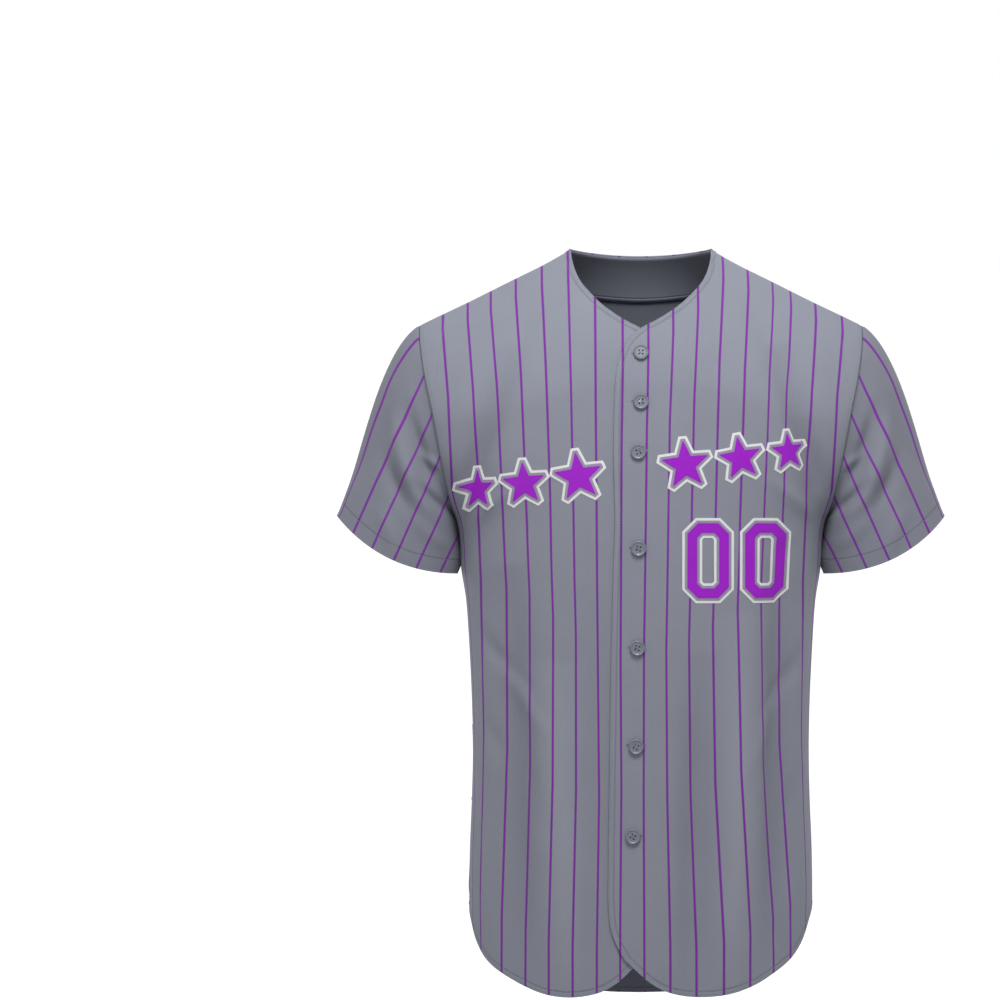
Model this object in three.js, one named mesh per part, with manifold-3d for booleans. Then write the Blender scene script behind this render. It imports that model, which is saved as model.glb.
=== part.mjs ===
// Baseball jersey: button front, V neck, set-in short sleeves and a curved shirt-tail hem,
// filled out as if it were worn. Every piece of cloth is a hollow wall of even thickness.
// Millimetres, +Z up. The front faces -Y and the wearer's left side is +X. The origin is the
// middle of the neck, level with the two points where the shoulder seams reach the neck.

import * as THREE from 'three';
import { mergeVertices } from 'three/addons/utils/BufferGeometryUtils.js';
import Module from 'manifold-3d';

const wasm = await Module();
wasm.setup();

// Millimetres that stand for one radian of turn where outlines are measured
const TURN_SCALE = 150;

// Cloth and seams
const CLOTH = 1.5;
const SEAM_GAP = 0.3;
const MITRE_LIMIT = 1.4;
const LEAST_COSINE = 0.1;
const SAME_POINT = 0.05;

// Lengths of the body, down from the side of the neck
const FRONT_HEM_Z = -775;
const BACK_HEM_Z = -783;
const SIDE_HEM_Z = -680;
const ARMPIT_Z = -285;

// Neck
const NECK_HALF = 74;
const NECK_CROWN = 22;
const BACK_NECK_DIP = 6;

// Front opening: the over front lies flat on the under one up to LAP_FLAT from the centre and
// they part by LAP_BLEND. The line leans a little
const LAP_GAP = 0.9;
const CENTRE_TOP_X = -1;
const CENTRE_TOP_Z = -84;
const CENTRE_LEAN = 0.0134;
const LAP_FLAT = 30;
const LAP_BLEND = 70;
// Share of a fold's lift that the doubled cloth of the lap takes away
const LAP_STIFFNESS = 0.7;
// The lean starts and is full this far below the shoulder seam
const LEAN_START = 2;
const LEAN_FULL = 60;

// Shoulder caps: how far below the seam the chest and back reach their full depth
const CAP = {
  front: { atNeck: 170, atTip: 112, power: 1.6 },
  back: { atNeck: 150, atTip: 104, power: 2.0 },
};
const SHOULDER_TIP_X = 231.5;

// Sleeve: the cuff is an oval hung between an inner and an outer corner
const CUFF_INNER = { x: 191.8, z: -338 };
const CUFF_OUTER = { x: 317, z: -278 };
const CUFF_HALF_DEPTH = 52;
const CUFF_DIP_FRONT = 16;
const CUFF_DIP_BACK = 9;
const SLEEVE_FULLNESS = 0.7;
const UNDERARM_FULLNESS = 0.35;
// Extra room between sleeve and body where the seam folds back on itself under the arm
const UNDERARM_EASE = 1.0;
const UNDERARM_REACH = 36;
// Direction in which the cloth leaves the armhole: outward, towards the front or back, and
// down under the arm and over it
const LEAVE_OUT = 0.92;
const LEAVE_FORWARD = 0.34;
const LEAVE_DOWN_UNDER = 0.3;
const LEAVE_DOWN_OVER = 0.56;

// Buttons
const BUTTON_RADIUS = 8;
const BUTTON_THICK = 3.2;
const BUTTON_RIM = 1.5;
const BUTTON_DISH = 0.9;
const BUTTON_HOLE_RADIUS = 0.95;
const BUTTON_HOLE_OFFSET = 1.9;
const BUTTON_SIDES = 16;
const BUTTON_OFFSET = 1;
const SEAT_STEPS = 7;
const BUTTON_HEIGHTS = [-111, -160, -211, -311, -414, -515, -609];

// Cells of the panels: down the side seam, up the armhole, round the neck, along the shoulder
const ROWS_SIDE = 16;
const ROWS_ARMHOLE = 12;
const COLUMNS_NECK = 9;
const COLUMNS_BACK_NECK = 6;
const COLUMNS_SHOULDER = 8;
const RINGS_SLEEVE = 10;
const FACING_ROWS = 2;
const FACING_SHOULDER_COLUMNS = 2;

// Level sections of the body: half width at the side seam, depth of front and back from the
// seam plane, and how square the section is (2 is an ellipse)
const SECTIONS = [
  { z: -830, half: 172, front: 103, back: 104, square: 2.6 },
  { z: -740, half: 176.5, front: 103, back: 103, square: 2.6 },
  { z: -680, half: 178.5, front: 102, back: 101, square: 2.6 },
  { z: -626, half: 178, front: 101, back: 98, square: 2.6 },
  { z: -574, half: 176, front: 101, back: 96, square: 2.6 },
  { z: -522, half: 175, front: 102, back: 95, square: 2.6 },
  { z: -470, half: 176, front: 104, back: 96, square: 2.55 },
  { z: -408, half: 179, front: 107, back: 99, square: 2.5 },
  { z: -366, half: 182, front: 109, back: 102, square: 2.45 },
  { z: -335, half: 187, front: 110, back: 104, square: 2.4 },
  { z: -285, half: 192.5, front: 112, back: 108, square: 2.35 },
  { z: -255, half: 211, front: 112, back: 110, square: 2.3 },
  { z: -220, half: 236, front: 112, back: 112, square: 2.25 },
  { z: -180, half: 251, front: 110, back: 112, square: 2.2 },
  { z: -130, half: 258, front: 107, back: 109, square: 2.2 },
  { z: -60, half: 262, front: 105, back: 104, square: 2.2 },
  { z: 40, half: 262, front: 104, back: 100, square: 2.2 },
];

// Shoulder seam seen from the front
const SHOULDER = [
  { x: 74, z: 0 },
  { x: 82, z: -5 },
  { x: 100, z: -15.2 },
  { x: 136, z: -33 },
  { x: 178, z: -54 },
  { x: 223, z: -75.5 },
  { x: 231.5, z: -80 },
  { x: 262, z: -98 },
];

// Armhole edge seen from the front, from the armpit to the tip of the shoulder
const ARMHOLE = [
  { z: -285, x: 192.5 },
  { z: -270, x: 197.5 },
  { z: -250, x: 202.5 },
  { z: -217, x: 209.5 },
  { z: -174, x: 217.5 },
  { z: -134, x: 226 },
  { z: -100, x: 231 },
  { z: -80, x: 231.5 },
];

// Neck edge of a front, from its rounded top corner to the side of the neck. x counts from
// the centre line, positive towards the panel's own side
const FRONT_NECK = [
  { x: -20, z: -109 },
  { x: -12, z: -95.5 },
  { x: 0, z: -85 },
  { x: 18, z: -75.5 },
  { x: 40, z: -60.5 },
  { x: 54, z: -47 },
  { x: 64, z: -35 },
  { x: 70, z: -22 },
  { x: 73.2, z: -9 },
  { x: 74, z: 0 },
];

// Opening edge of a front, from its rounded bottom corner up to the top corner
const FRONT_EDGE = [
  { x: -8, z: -737 },
  { x: -16.5, z: -722 },
  { x: -23, z: -704 },
  { x: -25.5, z: -680 },
  { x: -26, z: -640 },
  { x: -26, z: -420 },
  { x: -26.5, z: -200 },
  { x: -26, z: -150 },
  { x: -24, z: -125 },
  { x: -20, z: -109 },
];

// Hem of a front from the bottom corner to the foot of the side seam, less its last point
const FRONT_HEM = [
  { x: -8, z: -737 },
  { x: 5, z: -749.5 },
  { x: 18, z: -761 },
  { x: 35, z: -770 },
  { x: 60, z: FRONT_HEM_Z },
  { x: 88, z: -773.5 },
  { x: 113, z: -766.5 },
  { x: 136, z: -755.5 },
  { x: 156.5, z: -739.5 },
  { x: 169, z: -719 },
  { x: 175.5, z: -698 },
];

// Hem of the back from the middle to the foot of the side seam, less its last point
const BACK_HEM = [
  { x: 0, z: BACK_HEM_Z },
  { x: 35, z: -782 },
  { x: 64, z: -778.5 },
  { x: 90, z: -771.5 },
  { x: 119, z: -758.5 },
  { x: 143, z: -742 },
  { x: 160, z: -724 },
  { x: 172, z: -702 },
];

// Soft folds of the body: across is the place at the fold's middle, lean its drift in x for
// each millimetre down, and lift is outward, so a trough has a negative lift
const BODY_FOLDS = [
  { face: 'front', across: -44, top: -350, foot: -800, lean: 0.03, width: 16, lift: -2.6 },
  { face: 'front', across: -84, top: -430, foot: -830, lean: 0.05, width: 24, lift: 3.6 },
  { face: 'front', across: -132, top: -330, foot: -800, lean: 0.02, width: 20, lift: -3.8 },
  { face: 'front', across: 52, top: -420, foot: -830, lean: -0.04, width: 22, lift: -3.4 },
  { face: 'front', across: 98, top: -380, foot: -820, lean: -0.03, width: 22, lift: 3.8 },
  { face: 'front', across: 140, top: -300, foot: -770, lean: -0.02, width: 16, lift: -4.2 },
  { face: 'front', across: 168, top: -100, foot: -300, lean: 0.28, width: 15, lift: -3.2 },
  { face: 'front', across: -165, top: -100, foot: -300, lean: -0.3, width: 16, lift: -2.8 },
  { face: 'back', across: -118, top: -330, foot: -800, lean: 0.05, width: 22, lift: -4.0 },
  { face: 'back', across: -66, top: -440, foot: -840, lean: 0.03, width: 26, lift: 3.4 },
  { face: 'back', across: -8, top: -300, foot: -760, lean: 0.02, width: 26, lift: -3.6 },
  { face: 'back', across: 58, top: -430, foot: -840, lean: -0.04, width: 24, lift: 3.8 },
  { face: 'back', across: 112, top: -300, foot: -800, lean: -0.05, width: 20, lift: -3.6 },
  { face: 'back', across: 150, top: -110, foot: -300, lean: 0.3, width: 18, lift: -3.4 },
  { face: 'back', across: -146, top: -120, foot: -310, lean: -0.32, width: 17, lift: -3.0 },
];

// Soft folds of a sleeve: around is degrees from the underarm over the front, with its turn
// towards the cuff, and start and finish are shares of the way from armhole to cuff
const SLEEVE_FOLDS = [
  { around: 40, turn: 24, start: -0.1, finish: 0.95, width: 15, lift: -5.0 },
  { around: 72, turn: 12, start: 0.1, finish: 1.2, width: 14, lift: 3.6 },
  { around: 104, turn: 8, start: 0.05, finish: 0.9, width: 15, lift: -3.4 },
  { around: 140, turn: 2, start: 0.2, finish: 1.1, width: 15, lift: 2.2 },
  { around: 250, turn: -4, start: 0.1, finish: 1.0, width: 16, lift: -3.2 },
  { around: 284, turn: -12, start: 0.1, finish: 1.2, width: 15, lift: 3.4 },
  { around: 320, turn: -22, start: -0.1, finish: 0.95, width: 15, lift: -4.6 },
];

const CLOTH_GREY = new THREE.MeshStandardMaterial({ color: 0x8c909b, roughness: 0.85, metalness: 0 });
const FACING_GREY = new THREE.MeshStandardMaterial({ color: 0x70737f, roughness: 0.88, metalness: 0 });
const BUTTON_GREY = new THREE.MeshStandardMaterial({ color: 0x8a8d98, roughness: 0.35, metalness: 0 });

const clamp = (value, low, high) => Math.min(high, Math.max(low, value));
const mix = (from, to, share) => from + (to - from) * share;
const smooth = (value, from, to) => {
  const share = clamp((value - from) / (to - from), 0, 1);
  return share * share * (3 - 2 * share);
};

// Smooth curve through a table's rows, read at a value of its key column
function readTable(table, key, column, value) {
  const last = table.length - 1;
  const sign = Math.sign(table[last][key] - table[0][key]);
  let row = 0;
  while (row < last - 1 && (value - table[row + 1][key]) * sign > 0) row += 1;
  const slope = (index) => {
    const low = Math.max(0, index - 1);
    const high = Math.min(last, index + 1);
    return (table[high][column] - table[low][column]) / (table[high][key] - table[low][key]);
  };
  const span = table[row + 1][key] - table[row][key];
  const share = clamp((value - table[row][key]) / span, 0, 1);
  const square = share * share;
  const cube = square * share;
  return (2 * cube - 3 * square + 1) * table[row][column]
    + (cube - 2 * square + share) * span * slope(row)
    + (3 * square - 2 * cube) * table[row + 1][column]
    + (cube - square) * span * slope(row + 1);
}

function section(z) {
  const read = (column) => readTable(SECTIONS, 'z', column, z);
  return { half: read('half'), front: read('front'), back: read('back'), square: read('square') };
}

const centreLine = (z) => CENTRE_TOP_X + CENTRE_LEAN * (z - CENTRE_TOP_Z);

// Height of the shoulder seam, carried on over the neck hole so that the caps stay smooth
function shoulderHeight(x) {
  const across = Math.abs(x);
  if (across >= NECK_HALF) return readTable(SHOULDER, 'x', 'z', across);
  return NECK_CROWN * (1 - (across / NECK_HALF) ** 2);
}

function capRise(face, x, z) {
  const cap = CAP[face];
  const reach = mix(cap.atNeck, cap.atTip, clamp(Math.abs(x) / SHOULDER_TIP_X, 0, 1));
  const share = clamp((shoulderHeight(x) - z) / reach, 0, 1);
  return (1 - (1 - share) ** cap.power) ** (1 / cap.power);
}

// Point of the body's middle surface. turn runs from 0 at the centre to 90 degrees at the
// side seam, and is negative on the wearer's right
function bodyPoint(face, turn, z) {
  const row = section(z);
  const sine = Math.sin(turn);
  const cosine = Math.cos(turn);
  const n = row.square;
  const reach = (Math.abs(sine) ** n + Math.abs(cosine) ** n) ** (-1 / n);
  const x = row.half * reach * sine;
  const depth = row[face] * reach * cosine * capRise(face, x, z);
  return new THREE.Vector3(x, face === 'front' ? -depth : depth, z);
}

// The turn at which the body's section at height z reaches x
function turnAt(x, z) {
  const row = section(z);
  const share = clamp(Math.abs(x) / row.half, 0, 0.999999) ** row.square;
  return Math.sign(x) * Math.atan((share / (1 - share)) ** (1 / row.square));
}

// Outlines are drawn as smooth curves on the plane of turn and height
function patternCurve(points) {
  return new THREE.CatmullRomCurve3(
    points.map(({ x, z }) => new THREE.Vector3(turnAt(x, z) * TURN_SCALE, z, 0)),
    false,
    'centripetal',
  );
}

function curveSteps(curve, steps) {
  const points = [];
  for (let step = 0; step <= steps; step += 1) {
    const at = curve.getPointAt(step / steps);
    points.push([at.x / TURN_SCALE, at.y]);
  }
  return points;
}

// The side seam and the armhole, from the hem to the tip of the shoulder
function sideSteps() {
  const points = [];
  for (let row = 0; row < ROWS_SIDE; row += 1) {
    points.push([Math.PI / 2, mix(SIDE_HEM_Z, ARMPIT_Z, row / ROWS_SIDE)]);
  }
  for (let row = 0; row <= ROWS_ARMHOLE; row += 1) {
    const z = mix(ARMPIT_Z, ARMHOLE[ARMHOLE.length - 1].z, row / ROWS_ARMHOLE);
    const turn = row === 0 ? Math.PI / 2 : turnAt(readTable(ARMHOLE, 'z', 'x', z), z);
    points.push([turn, z]);
  }
  return points;
}

// The shoulder seam from the side of the neck to the tip
function shoulderSteps() {
  const points = [];
  for (let column = 0; column <= COLUMNS_SHOULDER; column += 1) {
    const x = mix(NECK_HALF, SHOULDER_TIP_X, column / COLUMNS_SHOULDER);
    const z = shoulderHeight(x);
    points.push([turnAt(x, z), z]);
  }
  return points;
}

// Fills a panel between its four edges: hem and top run across, inner and outer run up
function fillPanel(hem, top, inner, outer) {
  const columns = hem.length - 1;
  const rows = inner.length - 1;
  const grid = [];
  for (let row = 0; row <= rows; row += 1) {
    const v = row / rows;
    const line = [];
    for (let column = 0; column <= columns; column += 1) {
      const u = column / columns;
      line.push([0, 1].map((axis) => (
        mix(hem[column][axis], top[column][axis], v)
        + mix(inner[row][axis], outer[row][axis], u)
        - mix(
          mix(hem[0][axis], hem[columns][axis], u),
          mix(top[0][axis], top[columns][axis], u),
          v,
        )
      )));
    }
    grid.push(line);
  }
  return grid;
}

// A front in pattern turn and height, for the panel on the wearer's left
function frontGrid() {
  const neck = curveSteps(patternCurve(FRONT_NECK), COLUMNS_NECK);
  const shoulder = shoulderSteps();
  neck.pop();
  const top = [...neck, ...shoulder];
  const inner = curveSteps(patternCurve(FRONT_EDGE), ROWS_SIDE + ROWS_ARMHOLE);
  const foot = { x: section(SIDE_HEM_Z).half, z: SIDE_HEM_Z };
  const hem = curveSteps(patternCurve([...FRONT_HEM, foot]), top.length - 1);
  hem[hem.length - 1] = [Math.PI / 2, SIDE_HEM_Z];
  return fillPanel(hem, top, inner, sideSteps());
}

// Half of the back, from its middle to the wearer's left
function backHalfGrid() {
  const top = [];
  for (let column = 0; column < COLUMNS_BACK_NECK; column += 1) {
    const x = NECK_HALF * Math.sin((column / COLUMNS_BACK_NECK) * (Math.PI / 2)) ** 0.9;
    const z = -BACK_NECK_DIP * (1 - (x / NECK_HALF) ** 2);
    top.push([turnAt(x, z), z]);
  }
  top.push(...shoulderSteps());
  const inner = [];
  for (let row = 0; row <= ROWS_SIDE + ROWS_ARMHOLE; row += 1) {
    inner.push([0, mix(BACK_HEM_Z, -BACK_NECK_DIP, row / (ROWS_SIDE + ROWS_ARMHOLE))]);
  }
  const foot = { x: section(SIDE_HEM_Z).half, z: SIDE_HEM_Z };
  const hem = curveSteps(patternCurve([...BACK_HEM, foot]), top.length - 1);
  hem[hem.length - 1] = [Math.PI / 2, SIDE_HEM_Z];
  return fillPanel(hem, top, inner, sideSteps());
}

// Outward lift of the folds at a point of the body, fading out towards the seams
function bodyFoldLift(face, x, z) {
  let lift = 0;
  for (const fold of BODY_FOLDS) {
    if (fold.face !== face) continue;
    const along = (z - fold.foot) / (fold.top - fold.foot);
    if (along <= 0 || along >= 1) continue;
    const middle = (fold.top + fold.foot) / 2;
    const off = (x - fold.across - fold.lean * (middle - z)) / fold.width;
    lift += fold.lift * Math.exp(-off * off) * Math.sin(Math.PI * along) ** 0.8;
  }
  const tip = ARMHOLE[ARMHOLE.length - 1].z;
  const edge = z > ARMPIT_Z ? readTable(ARMHOLE, 'z', 'x', Math.min(z, tip)) : section(z).half;
  const belowShoulder = smooth(shoulderHeight(x) - z, 8, 60);
  return lift * belowShoulder * (1 - smooth(Math.abs(x), edge - 24, edge - 3));
}

// Moves a grid's points along its own normals by a distance for each point
function liftGrid(grid, distance) {
  const normals = gridNormals(grid, false);
  return grid.map((line, row) => line.map((point, column) => (
    point.clone().addScaledVector(normals[row][column], distance(point, row, column))
  )));
}

// Normals at a grid's points, from the cells round each point
function gridNormals(grid, wraps) {
  const rows = grid.length;
  const columns = grid[0].length;
  const normals = grid.map((line) => line.map(() => new THREE.Vector3()));
  const cellsAcross = wraps ? columns : columns - 1;
  for (let row = 0; row < rows - 1; row += 1) {
    for (let column = 0; column < cellsAcross; column += 1) {
      const next = (column + 1) % columns;
      const corners = [[row, column], [row, next], [row + 1, next], [row + 1, column]];
      const [a, b, c, d] = corners.map(([r, k]) => grid[r][k]);
      const normal = c.clone().sub(a).cross(d.clone().sub(b));
      corners.forEach(([r, k]) => normals[r][k].add(normal));
    }
  }
  normals.forEach((line) => line.forEach((normal) => normal.normalize()));
  return normals;
}

// Turns a panel's pattern grid into points of the body with its folds. side is 1 for the
// wearer's left and -1 for the right; lap moves the opening edge out or in
function frontPoints(pattern, side, lap) {
  const grid = pattern.map((line) => line.map(([turn, z], column) => {
    const upright = bodyPoint('front', side * turn, z);
    const share = 1 - column / (line.length - 1);
    const below = shoulderHeight(upright.x) - z;
    const lean = centreLine(z) * share * smooth(below, LEAN_START, LEAN_FULL);
    if (lean === 0) return upright;
    return bodyPoint('front', turnAt(upright.x + lean, z), z);
  }));
  return liftGrid(orderGrid(grid, side), (point) => {
    const fromCentre = (point.x - centreLine(point.z)) * side;
    const lapShare = 1 - smooth(fromCentre, LAP_FLAT, LAP_BLEND);
    const fold = bodyFoldLift('front', point.x, point.z);
    return lap * lapShare + fold * (1 - LAP_STIFFNESS * lapShare);
  });
}

// Columns run the same way round the body on both sides, so that normals point out
function orderGrid(grid, side) {
  return side > 0 ? grid : grid.map((line) => [...line].reverse());
}

function backPoints(half) {
  const left = half.map((line) => line.map(([turn, z]) => bodyPoint('back', turn, z)));
  const grid = left.map((line) => {
    const mirrored = line.slice(1).map((point) => new THREE.Vector3(-point.x, point.y, point.z));
    return [...[...line].reverse(), ...mirrored];
  });
  return liftGrid(grid, (point) => bodyFoldLift('back', point.x, point.z));
}

// The closed ring of armhole points, from the armpit over the front and the shoulder tip
// to the back and down again
function armholeRing(front, back) {
  const outerColumn = front[0].length - 1;
  const ring = [];
  for (let row = ROWS_SIDE; row <= ROWS_SIDE + ROWS_ARMHOLE; row += 1) {
    ring.push(front[row][outerColumn]);
  }
  for (let row = ROWS_SIDE + ROWS_ARMHOLE - 1; row > ROWS_SIDE; row -= 1) {
    ring.push(back[row][0]);
  }
  return ring;
}

// Cuff of the sleeve on the wearer's left at an angle from the inner corner over the front
function cuffPoint(angle) {
  const chord = new THREE.Vector3(CUFF_OUTER.x - CUFF_INNER.x, 0, CUFF_OUTER.z - CUFF_INNER.z);
  const centre = new THREE.Vector3(CUFF_INNER.x, 0, CUFF_INNER.z).addScaledVector(chord, 0.5);
  const dip = Math.sin(angle) > 0 ? CUFF_DIP_FRONT : CUFF_DIP_BACK;
  return centre
    .addScaledVector(chord, -0.5 * Math.cos(angle))
    .addScaledVector(sleeveAxis(), dip * Math.sin(angle) ** 2)
    .add(new THREE.Vector3(0, -CUFF_HALF_DEPTH * Math.sin(angle), 0));
}

function sleeveAxis() {
  const axis = new THREE.Vector3(CUFF_OUTER.z - CUFF_INNER.z, 0, CUFF_INNER.x - CUFF_OUTER.x);
  return axis.normalize();
}

// Rings of the sleeve from the armhole to the cuff. Each line leaves the armhole sideways
// and swings down to the cuff
function sleevePoints(ring) {
  const axis = sleeveAxis();
  const grid = [];
  for (let step = 0; step <= RINGS_SLEEVE; step += 1) {
    const s = step / RINGS_SLEEVE;
    const line = ring.map((start, index) => {
      const angle = (index / ring.length) * 2 * Math.PI;
      const end = cuffPoint(angle);
      const reach = start.distanceTo(end);
      const top = (1 - Math.cos(angle)) / 2;
      const leave = new THREE.Vector3(
        LEAVE_OUT,
        LEAVE_FORWARD * Math.sin(angle),
        -mix(LEAVE_DOWN_UNDER, LEAVE_DOWN_OVER, top),
      ).normalize();
      const fullness = mix(UNDERARM_FULLNESS, SLEEVE_FULLNESS, smooth(top, 0, 0.4));
      const leaving = leave.multiplyScalar(reach * fullness);
      const arriving = axis.clone().multiplyScalar(reach * fullness);
      return hermite(start, leaving, end, arriving, s);
    });
    grid.push(line);
  }
  return grid.reverse();
}

function hermite(start, leaving, end, arriving, s) {
  const square = s * s;
  const cube = square * s;
  return start.clone().multiplyScalar(2 * cube - 3 * square + 1)
    .addScaledVector(leaving, cube - 2 * square + s)
    .addScaledVector(end, 3 * square - 2 * cube)
    .addScaledVector(arriving, cube - square);
}

function foldSleeve(grid) {
  const normals = gridNormals(grid, true);
  const columns = grid[0].length;
  return grid.map((line, row) => {
    const s = 1 - row / RINGS_SLEEVE;
    return line.map((point, column) => {
      const around = (column / columns) * 360;
      let lift = 0;
      for (const fold of SLEEVE_FOLDS) {
        const along = (s - fold.start) / (fold.finish - fold.start);
        if (along <= 0 || along >= 1) continue;
        const off = (around - fold.around - fold.turn * s) / fold.width;
        lift += fold.lift * Math.exp(-off * off) * Math.sin(Math.PI * along);
      }
      return point.clone().addScaledVector(normals[row][column], lift * smooth(s, 0, 0.3));
    });
  });
}

const mirrorX = (point) => new THREE.Vector3(-point.x, point.y, point.z);
const mirrorGrid = (grid) => grid.map((line) => [...line].reverse().map(mirrorX));

// Seams: pieces share their points along a seam, so the thickness there follows the mean of
// the normals of all the pieces that meet
function edgePoints(pieces) {
  const points = [];
  for (const piece of pieces) {
    piece.normals = gridNormals(piece.grid, piece.wraps);
    const lastRow = piece.grid.length - 1;
    piece.grid.forEach((line, row) => line.forEach((point, column) => {
      const onEnd = row === 0 || row === lastRow;
      const onSide = !piece.wraps && (column === 0 || column === line.length - 1);
      if (onEnd || onSide) points.push({ piece, point, normal: piece.normals[row][column] });
    }));
  }
  return points;
}

// Normal of a piece at a point, shared with its neighbours where that point is on a seam
function seamNormal(piece, edges, row, column) {
  const point = piece.grid[row][column];
  const own = piece.normals[row][column];
  const normal = own.clone();
  let onSeam = false;
  for (const other of edges) {
    if (other.piece !== piece && other.point.distanceTo(point) < SAME_POINT) {
      normal.add(other.normal);
      onSeam = true;
    }
  }
  return { onSeam, own, normal: normal.normalize() };
}

// A wall round a grid: the middle surface is drawn back from each seam by half the gap and
// thickened to both sides, then closed by its edges
function clothWall(piece, edges) {
  const { grid, wraps } = piece;
  const rows = grid.length;
  const columns = grid[0].length;
  piece.outer = [];
  const inner = [];
  grid.forEach((line, row) => line.forEach((point, column) => {
    const { onSeam, own, normal } = seamNormal(piece, edges, row, column);
    const mitre = Math.min(MITRE_LIMIT, 1 / Math.max(LEAST_COSINE, normal.dot(own)));
    const base = point.clone();
    if (onSeam) {
      const inColumn = wraps ? column : clamp(column, 1, columns - 2);
      const inward = grid[clamp(row, 1, rows - 2)][inColumn].clone().sub(point);
      inward.addScaledVector(normal, -inward.dot(normal)).normalize();
      const fromArmpit = Math.hypot(point.y, point.z - ARMPIT_Z);
      const ease = wraps ? UNDERARM_EASE * (1 - smooth(fromArmpit, 0, UNDERARM_REACH)) : 0;
      base.addScaledVector(inward, SEAM_GAP / 2);
      base.x += ease * Math.sign(point.x);
    }
    piece.outer.push(base.clone().addScaledVector(normal, mitre * CLOTH / 2));
    inner.push(base.clone().addScaledVector(normal, -mitre * CLOTH / 2));
  }));
  return closeWall(piece.outer, inner, rows, columns, wraps);
}

// Joins an outer and an inner grid of points into one closed mesh. Each cell is split along
// its shorter diagonal, so that left and right are alike
function closeWall(outer, inner, rows, columns, wraps) {
  const positions = [];
  [...outer, ...inner].forEach((point) => positions.push(point.x, point.y, point.z));
  const shift = outer.length;
  const index = [];
  const quad = (a, b, c, d) => index.push(a, b, c, a, c, d);
  const at = (row, column) => row * columns + (column % columns);
  const cellsAcross = wraps ? columns : columns - 1;
  for (let row = 0; row < rows - 1; row += 1) {
    for (let column = 0; column < cellsAcross; column += 1) {
      const a = at(row, column);
      const b = at(row, column + 1);
      const c = at(row + 1, column + 1);
      const d = at(row + 1, column);
      if (outer[a].distanceTo(outer[c]) < outer[b].distanceTo(outer[d])) {
        quad(a, b, c, d);
        quad(shift + c, shift + b, shift + a, shift + d);
      } else {
        quad(b, c, d, a);
        quad(shift + b, shift + a, shift + d, shift + c);
      }
    }
  }
  const edge = (a, b) => {
    if (outer[a].distanceTo(inner[b]) < inner[a].distanceTo(outer[b])) {
      quad(a, shift + a, shift + b, b);
    } else {
      quad(shift + a, shift + b, b, a);
    }
  };
  for (let column = 0; column < cellsAcross; column += 1) {
    edge(at(0, column), at(0, column + 1));
    edge(at(rows - 1, column + 1), at(rows - 1, column));
  }
  if (!wraps) {
    for (let row = 0; row < rows - 1; row += 1) {
      edge(at(row + 1, 0), at(row, 0));
      edge(at(row, columns - 1), at(row + 1, columns - 1));
    }
  }
  const geometry = new THREE.BufferGeometry();
  geometry.setAttribute('position', new THREE.Float32BufferAttribute(positions, 3));
  geometry.setIndex(index);
  geometry.computeVertexNormals();
  return geometry;
}

// The facing inside the back of the neck is the top of the back, moved in by a wall and a gap
function facingGrid(back, edges) {
  const lastRow = ROWS_SIDE + ROWS_ARMHOLE;
  const first = COLUMNS_SHOULDER - FACING_SHOULDER_COLUMNS;
  const last = back.grid[0].length - 1 - first;
  const grid = [];
  for (let row = lastRow - FACING_ROWS; row <= lastRow; row += 1) {
    const line = [];
    for (let column = first; column <= last; column += 1) {
      const { normal } = seamNormal(back, edges, row, column);
      line.push(back.grid[row][column].clone().addScaledVector(normal, -(CLOTH + SEAM_GAP)));
    }
    grid.push(line);
  }
  return grid;
}

// One button: a turned disc with a raised rim, a dished face and four holes
function buttonGeometry() {
  const half = BUTTON_THICK / 2;
  const profile = [
    [0, -half],
    [BUTTON_RADIUS * 0.72, -half],
    [BUTTON_RADIUS, -half * 0.1],
    [BUTTON_RADIUS - 0.4, half * 0.8],
    [BUTTON_RADIUS - BUTTON_RIM * 0.6, half],
    [BUTTON_RADIUS - BUTTON_RIM * 1.7, half - BUTTON_DISH],
    [0, half - BUTTON_DISH],
  ].map(([x, y]) => new THREE.Vector2(x, y));
  const disc = toManifold(new THREE.LatheGeometry(profile, BUTTON_SIDES));
  const hole = new THREE.CylinderGeometry(BUTTON_HOLE_RADIUS, BUTTON_HOLE_RADIUS, BUTTON_THICK * 2, 6);
  let button = disc;
  for (const side of [-1, 1]) {
    for (const level of [-1, 1]) {
      const cut = hole.clone().translate(side * BUTTON_HOLE_OFFSET, 0, level * BUTTON_HOLE_OFFSET);
      button = button.subtract(toManifold(cut));
    }
  }
  return fromManifold(button);
}

function toManifold(geometry) {
  const bare = geometry.clone();
  bare.deleteAttribute('normal');
  bare.deleteAttribute('uv');
  const merged = mergeVertices(bare, 1e-4);
  return new wasm.Manifold(new wasm.Mesh({
    numProp: 3,
    vertProperties: new Float32Array(merged.attributes.position.array),
    triVerts: new Uint32Array(merged.index.array),
  }));
}

function fromManifold(solid) {
  const mesh = solid.getMesh();
  const geometry = new THREE.BufferGeometry();
  geometry.setAttribute('position', new THREE.BufferAttribute(new Float32Array(mesh.vertProperties), 3));
  geometry.setIndex(Array.from(mesh.triVerts));
  geometry.computeVertexNormals();
  return geometry;
}

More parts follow.
